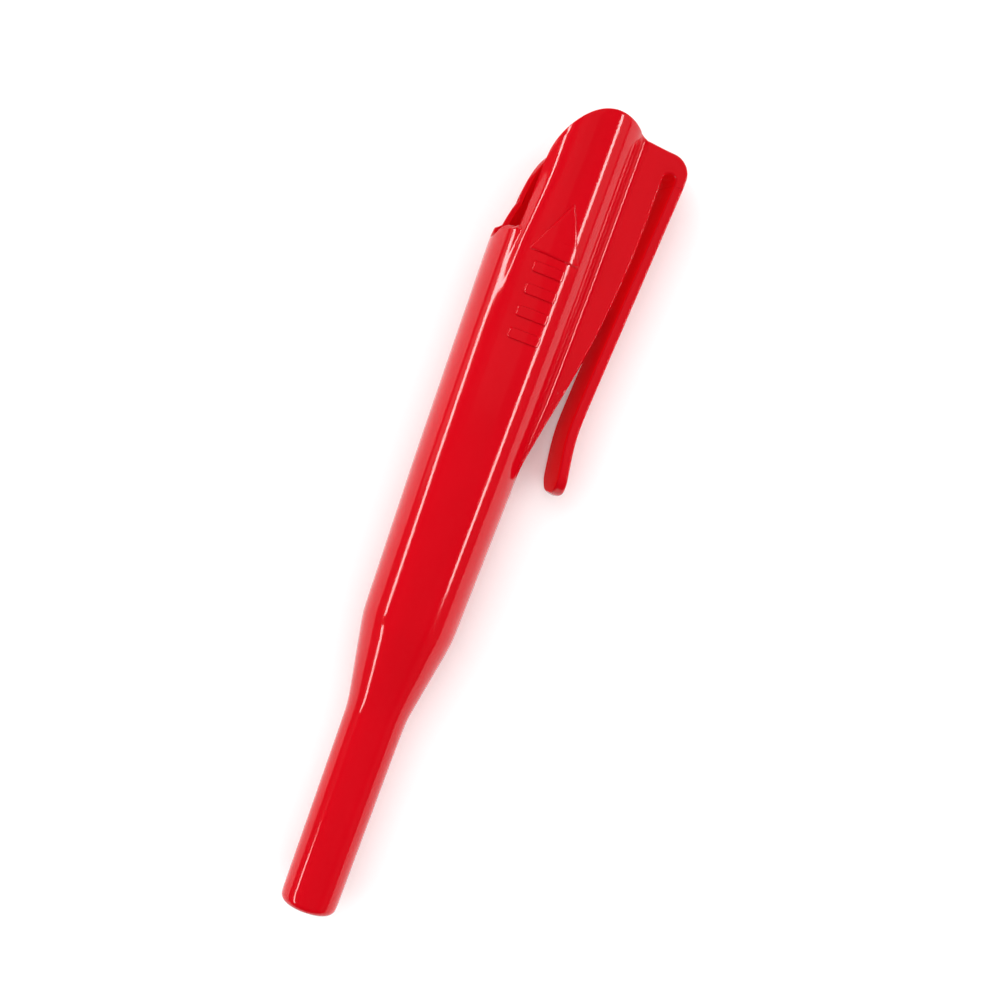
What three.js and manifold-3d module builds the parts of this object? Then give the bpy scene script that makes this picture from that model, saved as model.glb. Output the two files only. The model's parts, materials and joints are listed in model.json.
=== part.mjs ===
// A construction marking pencil stored in its belt holster, in millimetres.
// Each piece is drawn along the pencil's axis: x points to the pocket clip, y from the holster's closed
// nose to its mouth, and z to the face with the arrow. The whole is then laid on its side on a table.
import * as THREE from 'three';
import Module from 'manifold-3d';
import { mergeVertices } from 'three/addons/utils/BufferGeometryUtils.js';

const wasm = await Module();
wasm.setup();

// Clearances
const seatGap = 0.3;
const slideGap = 0.12;
const cutLap = 1;
const weld = 1e-5;
const roundSides = 64;
const gripSides = 40;
const smallSides = 24;

// Driving sizes: the pencil's barrel sets the holster's bore, and heights are measured from the nose end
const barrelRadius = 5.95;
const shellWall = 1.35;
const bodyRadius = barrelRadius + seatGap + shellWall;
const mouthTop = 138.7;

// Distances down from the mouth's top, and how far the radius grows along the body
const below = {
  clip: 1.9, button: 7.1, gussetStraight: 14.7, arrowTip: 16.6, shoulder: 23.2, notch: 25.1, arrowBase: 25.7,
  core: 26.7, curlShift: 26.7, body: 28.7, swell: 34.7, bars: 40, curlStart: 40.7, bend: 51.2, gusset: 54.7,
  stripEnd: 61.2,
};
const draft = { middle: 0.68, top: 1.25, mouth: 1.35 };

// Holster shell: a narrow nose tube, a taper and a body that opens slightly towards the mouth
const nose = { radius: 4.5, topRadius: 4.85, top: 33.8, edge: 1.4 };
const body = {
  bottom: 48.9, bottomRadius: bodyRadius, middle: 75.6, middleRadius: bodyRadius + draft.middle,
  top: mouthTop - below.body, topRadius: bodyRadius + draft.top,
};
const mouth = { top: mouthTop, radius: bodyRadius + draft.mouth };
const noseWall = 1.1;
const noseFloor = 1.6;
const ventRadius = 2.0;

// The mouth's outline seen from the arrow side: a thumb notch on the left and a high rounded tongue
const edgeDepth = { near: 2.95, far: 2.55 };
const notch = {
  bottom: mouthTop - below.notch,
  nearEdge: edgeDepth.near - mouth.radius, farEdge: edgeDepth.far - mouth.radius,
  lean: 1.2, ease: 0.4, turn: 3.4, rise: 8.4,
  step: { height: 2.3, length: 1.3, corner: 1.6, sideEase: 0.25, rise: 2.6 },
};
const fallReach = 0.5;
const tongue = { crown: 1.9, rise: 11.7, ease: 3, fallEnd: mouth.radius + fallReach };
const farDrop = 5.3;
const clipTop = mouthTop - below.clip;

// The near tongue stands a little proud over its crown, and both tongues fall away in a flank on their left.
// Angles are from the arrow side, positive towards the clip, and reaches are heights over which a form grows.
const curl = {
  start: mouthTop - below.curlStart, rows: 10, wall: 1.1,
  raise: 0.45, raiseReach: 17, fadeFrom: -19.6, fadeReach: 26,
  drop: 1.4, dropReach: 30, middle: -44.6, turn: 13, width: 4.4, widen: 2.1,
  shift: mouthTop - below.curlShift, shiftReach: 20,
  shoulder: mouthTop - below.shoulder, shoulderReach: 2, limit: 3,
};

// The raised arrow and bars on the near face
const relief = 0.35;
const arrow = { base: mouthTop - below.arrowBase, tip: mouthTop - below.arrowTip, halfWidth: 4.15 };
const bars = { count: 4, first: mouthTop - below.bars, pitch: 3.7, height: 1.75, halfWidth: 2.75 };

// Clip: a gusset on the shell carries a strip that springs along the shell
const standOff = 4.65;
const swellIn = 0.1;
const gussetEdge = mouth.radius + standOff;
const gusset = {
  bottom: mouthTop - below.gusset, sink: 0.4, edge: gussetEdge, straightFrom: mouthTop - below.gussetStraight,
  swell: mouthTop - below.swell, swellX: gussetEdge - swellIn,
};
const rootDepth = 3.7;
const slot = { width: 1.8, top: clipTop - rootDepth };
const stripThickness = 1.75;
const stripLean = { bend: 2.45, foot: 1.0 };
const footCorner = 2.2;
const rootOuter = gussetEdge + slot.width + stripThickness;
const strip = {
  thickness: stripThickness, rootOuter, bendOuter: rootOuter - stripLean.bend,
  footOuter: rootOuter - stripLean.foot,
  bend: mouthTop - below.bend, bendHalf: 3, bendDip: 0.2, bendRise: 0.15,
  end: mouthTop - below.stripEnd,
};
const clipWidth = 10.8;
const gussetThickness = 7.4;
const clipCorner = 3.4;
const jointDrop = 1.6;
const stripJoint = slot.top - jointDrop;
const core = {
  bottom: mouthTop - below.core, inner: mouth.radius + shellWall, outerWall: 1.25, sideWall: 1.3,
};

// Pencil: heights are measured in the same way, with the pencil pushed home in the holster
// with the barrel's end just below the notch and the other heights stepped from there
const step = { barrel: 1.3, leadTube: 4.7, lead: 5, ribLow: 12.3, ribHigh: 4.3, bush: 9.3, stem: 7.8 };
const barrelTop = notch.bottom - step.barrel;
const noseTube = { tip: 3.0, tipRadius: 2.35, taper: 2.0, endWall: 1.0, radius: 3.1, bore: 2.45, top: 42 };
const tipGuideLength = 2.8;
const leadTube = { bottom: 24, radius: 2.25, top: barrelTop + step.leadTube };
const lead = { radius: 1.4, point: 1.2, bottom: 3.2, top: leadTube.top - step.lead };
const leadGap = 0.1;
const clutchRing = { bottom: 15, top: 18, lead: 0.6 };
const collet = {
  headRadius: 2.2, headLength: 2.9, lead: 0.6, stemRadius: 1.85, top: 28,
  slots: 3, slotWidth: 0.5, slotTop: 22,
};
const cone = { bottom: 36, shoulder: 2, spigotRadius: 4.7, spigotTop: 55, springBore: 3.7 };
const barrel = { bottom: 49.4, top: barrelTop, radius: barrelRadius, bore: 4.1, chamfer: 0.6 };
const rib = {
  count: 4, bottom: barrelTop - step.ribLow, top: barrelTop - step.ribHigh, width: 1.8, sink: 0.5,
  chamfer: 0.6,
};
const gripStandOut = 0.15;
const grip = {
  bottom: 56, top: 86, radius: barrelRadius + gripStandOut, recess: 0.9, ribs: 9, ribDepth: 0.35,
  landStart: 0.3, landEnd: 0.7,
};
const spring = { coilRadius: 2.95, wire: 0.45, turns: 9, length: 15, stepsPerTurn: 8, wireSides: 5 };
const seatThickness = 0.7;
const collarHeight = 1.8;
const bush = { bottom: barrelTop - step.bush, lip: 0.5 };
const buttonTravel = 3.4;
const button = {
  stemRadius: 3.2, stemBottom: barrelTop - step.stem, top: mouthTop - below.button, radius: 4.3, edge: 2.2,
  grooves: 5, grooveDepth: 0.25, grooveFrom: 2, groovePitch: 1.5,
};

// Colours and surface finish
const finishes = {
  holster: { color: 0xd8141f, roughness: 0.22, metalness: 0 },
  button: { color: 0xd0131e, roughness: 0.3, metalness: 0 },
  barrel: { color: 0x1c1d1f, roughness: 0.45, metalness: 0 },
  rubber: { color: 0x141414, roughness: 0.85, metalness: 0 },
  steel: { color: 0xc3c6c9, roughness: 0.28, metalness: 1 },
  brass: { color: 0xc79a3d, roughness: 0.3, metalness: 1 },
  lead: { color: 0x2b2b2e, roughness: 0.6, metalness: 0 },
};

// A closed mesh becomes a solid, turned right way out if its profile ran the other way.
function solid(geometry) {
  const bare = geometry.clone();
  bare.deleteAttribute('normal');
  bare.deleteAttribute('uv');
  const merged = mergeVertices(bare, weld);
  const points = merged.attributes.position.array;
  const corners = Uint32Array.from(merged.index.array);
  if (signedVolume(points, corners) < 0) {
    for (let i = 0; i < corners.length; i += 3) {
      [corners[i], corners[i + 1]] = [corners[i + 1], corners[i]];
    }
  }
  const mesh = new wasm.Mesh({ numProp: 3, vertProperties: Float32Array.from(points), triVerts: corners });
  mesh.merge();
  return new wasm.Manifold(mesh);
}

function signedVolume(points, corners) {
  const [a, b, c] = [new THREE.Vector3(), new THREE.Vector3(), new THREE.Vector3()];
  let sum = 0;
  for (let i = 0; i < corners.length; i += 3) {
    a.fromArray(points, 3 * corners[i]);
    b.fromArray(points, 3 * corners[i + 1]);
    c.fromArray(points, 3 * corners[i + 2]);
    sum += a.dot(b.cross(c)) / 6;
  }
  return sum;
}

function geometry(part) {
  const mesh = part.getMesh();
  const made = new THREE.BufferGeometry();
  const points = new Float32Array(mesh.numVert * 3);
  for (let i = 0; i < mesh.numVert; i++) {
    for (let axis = 0; axis < 3; axis++) {
      points[3 * i + axis] = mesh.vertProperties[mesh.numProp * i + axis];
    }
  }
  made.setAttribute('position', new THREE.BufferAttribute(points, 3));
  made.setIndex(new THREE.BufferAttribute(Uint32Array.from(mesh.triVerts), 1));
  made.computeVertexNormals();
  return made;
}

// A body turned around the y axis from [radius, height] points that start and end on the axis.
function turned(profile, sides = smallSides, reshape = null) {
  const points = profile.map(([r, y]) => new THREE.Vector2(r, y));
  const made = new THREE.LatheGeometry(points, sides);
  if (reshape) {
    const places = made.attributes.position;
    const place = new THREE.Vector3();
    for (let i = 0; i < places.count; i++) {
      reshape(place.fromBufferAttribute(places, i));
      places.setXYZ(i, place.x, place.y, place.z);
    }
  }
  return solid(made);
}

// A ring turned from an outer profile, bottom to top, and a bore profile, bottom to top.
function ring(outer, bore, sides = smallSides) {
  const loop = [...outer, ...[...bore].reverse(), outer[0]];
  return turned(loop, sides);
}

function tube(radius, bore, bottom, top, sides = smallSides) {
  return ring([[radius, bottom], [radius, top]], [[bore, bottom], [bore, top]], sides);
}

function rod(radius, bottom, top, sides = smallSides) {
  return turned([[0, bottom], [radius, bottom], [radius, top], [0, top]], sides);
}

// An outline in the x-y plane, given depth along z from one height to another.
function slab(shape, zLow, zHigh, curveSegments = 16) {
  const settings = { depth: zHigh - zLow, bevelEnabled: false, curveSegments };
  const made = new THREE.ExtrudeGeometry(shape, settings);
  made.translate(0, 0, zLow);
  return solid(made);
}

function box(x0, x1, y0, y1, z0, z1) {
  const made = new THREE.BoxGeometry(x1 - x0, y1 - y0, z1 - z0);
  made.translate((x0 + x1) / 2, (y0 + y1) / 2, (z0 + z1) / 2);
  return solid(made);
}

// Points on a quarter round from the side of a rod into its end face.
function roundedEdge(radius, end, edge, direction, steps = 4) {
  const points = [];
  for (let i = 0; i <= steps; i++) {
    const angle = (i / steps) * Math.PI / 2;
    points.push([radius - edge * (1 - Math.cos(angle)), end - direction * edge * (1 - Math.sin(angle))]);
  }
  return direction > 0 ? points : points.reverse();
}

// Heights between the start of the curl and the mouth's top, where the tongue's section changes.
function curlHeights() {
  const step = (mouth.top - curl.start) / curl.rows;
  return Array.from({ length: curl.rows }, (_, i) => curl.start + i * step);
}

// A profile with more points along its straight stretch over the curl.
function withCurlRows(profile, top) {
  const [r0, y0] = profile.at(-2);
  const [r1, y1] = profile.at(-1);
  const rows = [...curlHeights(), top].filter((y) => y > y0 && y < y1);
  const added = rows.map((y) => [r0 + (r1 - r0) * (y - y0) / (y1 - y0), y]);
  return [...profile.slice(0, -1), ...added, profile.at(-1)];
}

// The shell's outer profile, bottom to top, grown outward by some amount.
function shellProfile(grow = 0) {
  return [
    ...roundedEdge(nose.radius + grow, 0, nose.edge, -1),
    [nose.topRadius + grow, nose.top],
    [body.bottomRadius + grow, body.bottom],
    [body.middleRadius + grow, body.middle],
    [body.topRadius + grow, body.top],
    [mouth.radius + grow, mouth.top],
  ];
}

function shellRadius(y) {
  const stations = shellProfile();
  for (let i = 1; i < stations.length; i++) {
    const [[r0, y0], [r1, y1]] = [stations[i - 1], stations[i]];
    if (y >= y0 && y <= y1 && y1 > y0) {
      return r0 + (r1 - r0) * (y - y0) / (y1 - y0);
    }
  }
  return mouth.radius;
}

// The chamber that the pencil slides into: a narrow bore, a tapered seat and a wide bore.
const chamber = [
  [nose.radius - noseWall, noseFloor],
  [nose.topRadius - shellWall, nose.top + shellWall / 2],
  [body.bottomRadius - shellWall, body.bottom + shellWall / 2],
  [body.middleRadius - shellWall, body.middle],
  [body.topRadius - shellWall, body.top],
  [mouth.radius - shellWall, mouth.top + cutLap],
];

function chamberRadius(y) {
  for (let i = 1; i < chamber.length; i++) {
    const [[r0, y0], [r1, y1]] = [chamber[i - 1], chamber[i]];
    if (y <= y1) {
      return r0 + (r1 - r0) * (y - y0) / (y1 - y0);
    }
  }
  return chamber.at(-1)[0];
}

const toRadians = Math.PI / 180;

function smooth(t) {
  const s = Math.min(Math.max(t, 0), 1);
  return s * s * (3 - 2 * s);
}

// How far the shell is drawn in at a height and an angle, which is less than zero where it stands proud.
function curlDepth(angle, y, near) {
  const raised = near ? curl.raise : 0;
  const raise = raised * smooth((y - curl.start) / curl.raiseReach)
    * (1 - smooth((angle - curl.fadeFrom) / curl.fadeReach));
  const moved = smooth((y - curl.shift) / curl.shiftReach);
  const past = (angle - curl.middle - curl.turn * moved) / (curl.width + curl.widen * moved);
  const fallen = curl.drop * smooth((y - curl.start) / curl.dropReach) / (1 + Math.exp(past));
  const limit = curl.limit * smooth((y - curl.shoulder) / curl.shoulderReach);
  return Math.min(fallen - raise, limit);
}

// Moves a point of the shell's outer side, or of its bore, to the tongues' section.
function drawIn(wall) {
  return (place) => {
    const radius = Math.hypot(place.x, place.z);
    if (radius < nose.radius || place.y < curl.start) {
      return;
    }
    const angle = Math.atan2(place.x, Math.abs(place.z)) / toRadians;
    const y = Math.min(place.y, mouth.top);
    const depth = curlDepth(angle, y, place.z > 0);
    const drawn = wall ? Math.min(radius, shellRadius(y) - depth - wall) : radius - depth;
    place.x *= drawn / radius;
    place.z *= drawn / radius;
  };
}

// The notch's near side: it rises round the shell to a short level step and turns up into the tongue's edge.
function stepUp(cut, edge) {
  const { height, length, corner, sideEase, rise } = notch.step;
  const level = notch.bottom + height;
  const stepX = edge - corner;
  cut.bezierCurveTo(
    sideEase - mouth.radius, level - height / 4,
    stepX - length / 2, level,
    stepX, level,
  );
  cut.bezierCurveTo(edge - corner / 4, level, edge, level + corner / 4, edge, level + rise);
}

// The space outside one half of the mouth: the thumb notch, the tongue's rounded shoulder and its crown.
function mouthCut(edge, drop, stepped) {
  const outside = 2 * mouth.radius;
  const above = mouth.top + cutLap;
  const crown = mouth.top - drop;
  const centre = crown - tongue.rise;
  const crownX = tongue.crown;
  const reach = tongue.crown - edge;
  const cut = new THREE.Shape();
  cut.moveTo(-outside, notch.bottom);
  cut.lineTo(-mouth.radius, notch.bottom);
  if (stepped) {
    stepUp(cut, edge);
  } else {
    cut.bezierCurveTo(
      edge - notch.lean, notch.bottom + notch.ease,
      edge, notch.bottom + notch.turn,
      edge, notch.bottom + notch.rise,
    );
  }
  cut.lineTo(edge, centre);
  cut.absellipse(crownX, centre, reach, tongue.rise, Math.PI, Math.PI / 2, true);
  cut.bezierCurveTo(
    crownX + tongue.ease, crown,
    tongue.fallEnd - tongue.ease, clipTop,
    tongue.fallEnd, clipTop,
  );
  cut.lineTo(outside, clipTop);
  cut.lineTo(outside, above);
  cut.lineTo(-outside, above);
  cut.closePath();
  return cut;
}

// The gusset and the clip's root, seen from the arrow side.
function gussetOutline() {
  const rootInner = strip.rootOuter - strip.thickness;
  const top = slot.top - slot.width / 2;
  const shape = new THREE.Shape();
  shape.moveTo(0, gusset.bottom);
  shape.lineTo(shellRadius(gusset.bottom) - gusset.sink, gusset.bottom);
  shape.quadraticCurveTo(gusset.swellX, gusset.swell, gusset.edge, gusset.straightFrom);
  shape.lineTo(gusset.edge, top);
  shape.absarc((gusset.edge + rootInner) / 2, top, (rootInner - gusset.edge) / 2, Math.PI, 0, true);
  shape.lineTo(rootInner, stripJoint + seatGap / 2);
  shape.lineTo(strip.rootOuter, stripJoint + seatGap / 2);
  shape.lineTo(strip.rootOuter, clipTop - clipCorner);
  shape.absarc(strip.rootOuter - clipCorner, clipTop - clipCorner, clipCorner, 0, Math.PI / 2, false);
  shape.lineTo(0, clipTop);
  shape.closePath();
  return shape;
}

// A wedge along y: the gusset is thinner at the shell and as wide as the strip at the clip.
function flare(part) {
  const reach = strip.rootOuter;
  const slope = (clipWidth - gussetThickness) / 2 / (reach - body.topRadius);
  const half = (x) => clipWidth / 2 - slope * (reach - x);
  const shape = new THREE.Shape();
  const far = reach + cutLap;
  shape.moveTo(0, -half(0));
  shape.lineTo(reach, -half(reach));
  shape.lineTo(far, -half(reach));
  shape.lineTo(far, half(reach));
  shape.lineTo(reach, half(reach));
  shape.lineTo(0, half(0));
  shape.closePath();
  const wedge = new THREE.ExtrudeGeometry(shape, { depth: mouth.top, bevelEnabled: false });
  wedge.rotateX(-Math.PI / 2);
  wedge.scale(1, 1, -1);
  return part.intersect(solid(wedge));
}

function arrowRelief() {
  const head = new THREE.Shape();
  head.moveTo(0, arrow.tip);
  head.lineTo(-arrow.halfWidth, arrow.base);
  head.lineTo(arrow.halfWidth, arrow.base);
  head.closePath();
  let marks = slab(head, 0, 2 * body.topRadius);
  for (let i = 0; i < bars.count; i++) {
    const y = bars.first + i * bars.pitch;
    marks = marks.add(box(-bars.halfWidth, bars.halfWidth, y, y + bars.height, 0, 2 * body.topRadius));
  }
  const skin = turned(
    [[0, 0], ...withCurlRows(shellProfile(relief), mouth.top), [0, mouth.top]],
    roundSides,
    drawIn(0),
  );
  return marks.intersect(skin);
}

function holster() {
  const height = clipWidth / 2;
  const outer = turned(
    [[0, 0], ...withCurlRows(shellProfile(), mouth.top), [0, mouth.top]],
    roundSides,
    drawIn(0),
  );
  const fin = flare(slab(gussetOutline(), -height, height));
  const bore = turned(
    [[0, noseFloor], ...withCurlRows(chamber, mouth.top), [0, mouth.top + cutLap]],
    roundSides,
    drawIn(curl.wall),
  );
  const vent = rod(ventRadius, -cutLap, noseFloor + cutLap);
  const near = slab(mouthCut(notch.nearEdge, 0, true), -cutLap, 2 * mouth.radius);
  const far = slab(mouthCut(notch.farEdge, farDrop, false), -2 * mouth.radius, 0);
  const pocket = box(
    core.inner, gusset.edge - core.outerWall,
    core.bottom, clipTop + cutLap,
    -gussetThickness / 2 + core.sideWall, gussetThickness / 2 - core.sideWall,
  );
  return outer.add(fin).add(arrowRelief()).subtract(bore).subtract(vent).subtract(near).subtract(far)
    .subtract(pocket);
}

// The spring strip: it leans towards the shell and flares out again to a rounded foot.
function clipStrip() {
  const height = clipWidth / 2;
  const top = stripJoint - seatGap / 2;
  const t = strip.thickness;
  const { bend, bendOuter, bendHalf } = strip;
  const dip = bendOuter - strip.bendDip;
  const low = bendOuter + strip.bendRise;
  const shape = new THREE.Shape();
  shape.moveTo(strip.rootOuter, top);
  shape.lineTo(bendOuter, bend + bendHalf);
  shape.quadraticCurveTo(dip, bend, low, bend - bendHalf);
  shape.lineTo(strip.footOuter, strip.end + t / 2);
  shape.absarc(strip.footOuter - t / 2, strip.end + t / 2, t / 2, 0, -Math.PI, true);
  shape.lineTo(low - t, bend - bendHalf);
  shape.quadraticCurveTo(dip - t, bend, bendOuter - t, bend + bendHalf);
  shape.lineTo(strip.rootOuter - t, top);
  shape.closePath();
  return roundFoot(flare(slab(shape, -height, height, 8)), clipWidth / 2);
}

// Rounds the two corners of the strip's foot, seen from the clip's side.
function roundFoot(part, half) {
  const reach = strip.rootOuter + cutLap;
  const centre = strip.end + footCorner;
  const side = half - footCorner;
  const plan = new THREE.Shape();
  plan.moveTo(half + cutLap, stripJoint + cutLap);
  plan.lineTo(-half - cutLap, stripJoint + cutLap);
  plan.lineTo(-half - cutLap, centre);
  plan.lineTo(-half, centre);
  plan.absarc(-side, centre, footCorner, Math.PI, 1.5 * Math.PI, false);
  plan.absarc(side, centre, footCorner, 1.5 * Math.PI, 2 * Math.PI, false);
  plan.lineTo(half + cutLap, centre);
  plan.closePath();
  const made = new THREE.ExtrudeGeometry(plan, { depth: reach, bevelEnabled: false, curveSegments: 6 });
  made.rotateY(Math.PI / 2);
  return part.intersect(solid(made));
}

// Thin steel tube with a coned tip that lets only the lead through.
function noseTubeSolid() {
  const shoulder = noseTube.tip + noseTube.taper;
  const throat = lead.radius + leadGap;
  return ring(
    [[noseTube.tipRadius, noseTube.tip], [noseTube.radius, shoulder], [noseTube.radius, noseTube.top]],
    [[throat, noseTube.tip], [throat, noseTube.tip + noseTube.endWall], [noseTube.bore, shoulder],
      [noseTube.bore, noseTube.top]],
  );
}

function tipGuideSolid() {
  const bottom = noseTube.tip + noseTube.taper + slideGap;
  return tube(noseTube.bore - slideGap, lead.radius + leadGap, bottom, bottom + tipGuideLength);
}

// The ring that squeezes the collet's coned head as the spring draws it in.
function clutchRingSolid() {
  const outer = noseTube.bore - slideGap;
  const { bottom, top, lead: leadIn } = clutchRing;
  const bore = collet.stemRadius + slideGap;
  return ring(
    [[outer, bottom], [outer, top]],
    [[collet.headRadius, bottom], [bore, bottom + leadIn], [bore, top]],
  );
}

// A brass tube with a coned head, split into jaws that close on the lead.
function colletSolid() {
  const { headRadius, stemRadius, headLength, lead: leadIn, slots, slotWidth } = collet;
  const headBottom = clutchRing.bottom - slideGap - headLength;
  const bore = lead.radius + leadGap;
  const outer = [
    [headRadius - leadIn / 2, headBottom],
    [headRadius, headBottom + leadIn],
    [headRadius, clutchRing.bottom - slideGap - leadIn],
    [stemRadius, clutchRing.bottom - slideGap + leadIn],
    [stemRadius, collet.top],
  ];
  let made = ring(outer, [[bore, headBottom], [bore, collet.top]]);
  for (let i = 0; i < slots; i++) {
    const cut = box(0, 2 * headRadius, headBottom - cutLap, collet.slotTop, -slotWidth / 2, slotWidth / 2);
    made = made.subtract(cut.rotate([0, (360 / slots) * i, 0]));
  }
  return made;
}

function leadSolid() {
  const { radius, point, bottom, top } = lead;
  const tipRadius = radius - point / 2;
  return turned([[0, bottom], [tipRadius, bottom], [radius, bottom + point], [radius, top], [0, top]]);
}

// The cone seats in the holster's taper and carries the nose tube, the spring and the barrel.
const coneTop = barrel.bottom - seatGap;
const noseTubeSeat = noseTube.top + slideGap;
const springSeat = noseTubeSeat + cone.shoulder;
function noseConeSolid() {
  const fit = noseTube.radius + slideGap;
  const guide = leadTube.radius + seatGap;
  return ring(
    [
      [chamberRadius(cone.bottom) - seatGap, cone.bottom],
      [chamberRadius(coneTop) - seatGap, coneTop],
      [cone.spigotRadius, coneTop],
      [cone.spigotRadius, cone.spigotTop],
    ],
    [
      [fit, cone.bottom],
      [fit, noseTubeSeat],
      [guide, noseTubeSeat],
      [guide, springSeat],
      [cone.springBore, springSeat],
      [cone.springBore, cone.spigotTop],
    ],
  );
}

// The handle: a counterbore for the cone's spigot, a recess for the grip and ribs that centre it.
function barrelSolid() {
  const { bottom, top, radius, bore } = barrel;
  const counterbore = cone.spigotRadius + slideGap;
  const recess = radius - grip.recess;
  const chamfer = barrel.chamfer;
  let made = ring(
    [
      [radius, bottom],
      [radius, grip.bottom],
      [recess, grip.bottom],
      [recess, grip.top],
      [radius, grip.top],
      [radius, top - chamfer / 2],
      [radius - chamfer / 2, top],
    ],
    [
      [counterbore, bottom],
      [counterbore, cone.spigotTop + seatGap],
      [bore, cone.spigotTop + seatGap],
      [bore, top],
    ],
    roundSides,
  );
  for (let i = 0; i < rib.count; i++) {
    made = made.add(ribSolid().rotate([0, (360 / rib.count) * i, 0]));
  }
  return made;
}

// One rib along the barrel's side, chamfered at both ends, that reaches to the chamber's wall.
function ribSolid() {
  const root = barrel.radius - rib.sink;
  const shape = new THREE.Shape();
  shape.moveTo(root, rib.bottom);
  shape.lineTo(barrel.radius, rib.bottom);
  shape.lineTo(chamberRadius(rib.bottom + rib.chamfer) - seatGap, rib.bottom + rib.chamfer);
  shape.lineTo(chamberRadius(rib.top - rib.chamfer) - seatGap, rib.top - rib.chamfer);
  shape.lineTo(barrel.radius, rib.top);
  shape.lineTo(root, rib.top);
  shape.closePath();
  return slab(shape, -rib.width / 2, rib.width / 2);
}

// A rubber sleeve with rounded ribs.
function gripSolid() {
  const { bottom, top, radius, ribs, ribDepth } = grip;
  const low = bottom + slideGap;
  const high = top - slideGap;
  const pitch = (high - low) / ribs;
  const outer = [];
  for (let i = 0; i < ribs; i++) {
    const y = low + i * pitch;
    outer.push([radius - ribDepth, y]);
    outer.push([radius, y + pitch * grip.landStart], [radius, y + pitch * grip.landEnd]);
  }
  outer.push([radius - ribDepth, high]);
  const bore = barrel.radius - grip.recess + slideGap;
  return ring(outer, [[bore, low], [bore, high]], gripSides);
}

const springBottom = springSeat + slideGap + seatThickness + slideGap;
const springTop = springBottom + spring.length;
const collarBottom = springTop + slideGap;

// A compression spring as one unbroken wound wire around the lead tube.
class SpringPath extends THREE.Curve {
  getPoint(t, target = new THREE.Vector3()) {
    const angle = 2 * Math.PI * spring.turns * t;
    const low = springBottom + spring.wire / 2;
    const climb = spring.length - spring.wire;
    const [x, z] = [spring.coilRadius * Math.cos(angle), spring.coilRadius * Math.sin(angle)];
    return target.set(x, low + climb * t, z);
  }
}

function springSolid() {
  const section = new THREE.Shape();
  for (let i = 0; i < spring.wireSides; i++) {
    const angle = (2 * Math.PI * i) / spring.wireSides;
    section[i ? 'lineTo' : 'moveTo'](spring.wire / 2 * Math.cos(angle), spring.wire / 2 * Math.sin(angle));
  }
  section.closePath();
  const steps = spring.turns * spring.stepsPerTurn;
  return solid(new THREE.ExtrudeGeometry(section, { steps, extrudePath: new SpringPath() }));
}

const barrelSeat = barrel.top + slideGap;
function rearBushSolid() {
  const outer = barrel.bore - slideGap;
  const bore = button.stemRadius + slideGap;
  const lipRadius = barrel.radius - barrel.chamfer / 2;
  return ring(
    [[outer, bush.bottom], [outer, barrelSeat], [lipRadius, barrelSeat], [lipRadius, barrelSeat + bush.lip]],
    [[bore, bush.bottom], [bore, barrelSeat + bush.lip]],
  );
}

// The button's cap has finger grooves and a domed end; its stem runs in the bush and holds the lead tube.
const buttonBottom = barrelSeat + bush.lip + seatGap + buttonTravel;
function buttonSolid() {
  const { stemRadius, stemBottom, radius, top, edge, grooves, grooveDepth, grooveFrom, groovePitch } = button;
  const outer = [[0, stemBottom], [stemRadius, stemBottom], [stemRadius, buttonBottom]];
  outer.push([radius - grooveDepth, buttonBottom], [radius, buttonBottom + grooveDepth]);
  for (let i = 0; i < grooves; i++) {
    const y = buttonBottom + grooveFrom + i * groovePitch;
    const half = groovePitch / 4;
    outer.push([radius, y - half], [radius - grooveDepth, y], [radius, y + half]);
  }
  outer.push(...roundedEdge(radius, top, edge, 1), [0, top]);
  const socketTop = leadTube.top + slideGap;
  return turned(outer).subtract(rod(leadTube.radius + slideGap, stemBottom - cutLap, socketTop));
}

// A thin brass tube behind the collet that carries the lead up into the button.
function leadTubeSolid() {
  return tube(leadTube.radius, collet.stemRadius + slideGap, leadTube.bottom, leadTube.top);
}

const drawn = new THREE.Group();
const materials = new Map();
for (const [name, finish] of Object.entries(finishes)) {
  materials.set(name, new THREE.MeshStandardMaterial({ name, ...finish }));
}

function add(name, part, finish) {
  const mesh = new THREE.Mesh(geometry(part), materials.get(finish));
  mesh.name = name;
  drawn.add(mesh);
}

add('holster', holster(), 'holster');
add('clip_strip', clipStrip(), 'holster');
add('barrel', barrelSolid(), 'barrel');
add('grip_sleeve', gripSolid(), 'rubber');
add('nose_cone', noseConeSolid(), 'barrel');
add('nose_tube', noseTubeSolid(), 'steel');
add('tip_guide', tipGuideSolid(), 'brass');
add('clutch_ring', clutchRingSolid(), 'brass');
add('collet', colletSolid(), 'brass');
add('lead_tube', leadTubeSolid(), 'brass');
add('lead', leadSolid(), 'lead');
const washerBottom = springSeat + slideGap;
add('spring_seat', tube(
  cone.springBore - slideGap, leadTube.radius + seatGap, washerBottom, washerBottom + seatThickness,
), 'steel');
add('return_spring', springSolid(), 'steel');
add('spring_collar', tube(
  barrel.bore - seatGap, leadTube.radius + slideGap, collarBottom, collarBottom + collarHeight,
), 'brass');
add('rear_bush', rearBushSolid(), 'barrel');
add('push_button', buttonSolid(), 'button');

// At rest the shell's side lies on the table and the part leans over until the clip's root touches it too.
const pitch = Math.atan2(body.topRadius - body.middleRadius, body.top - body.middle);
const touch = clipTop - clipCorner;
const drop = body.middleRadius + (touch - body.middle) * Math.tan(pitch);
const edgeReach = Math.hypot(strip.rootOuter, clipWidth / 2);
const roll = Math.asin(drop / edgeReach) - Math.atan2(clipWidth / 2, strip.rootOuter);
drawn.rotation.y = roll;
const tilted = new THREE.Group();
tilted.rotation.x = pitch;
tilted.add(drawn);

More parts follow.
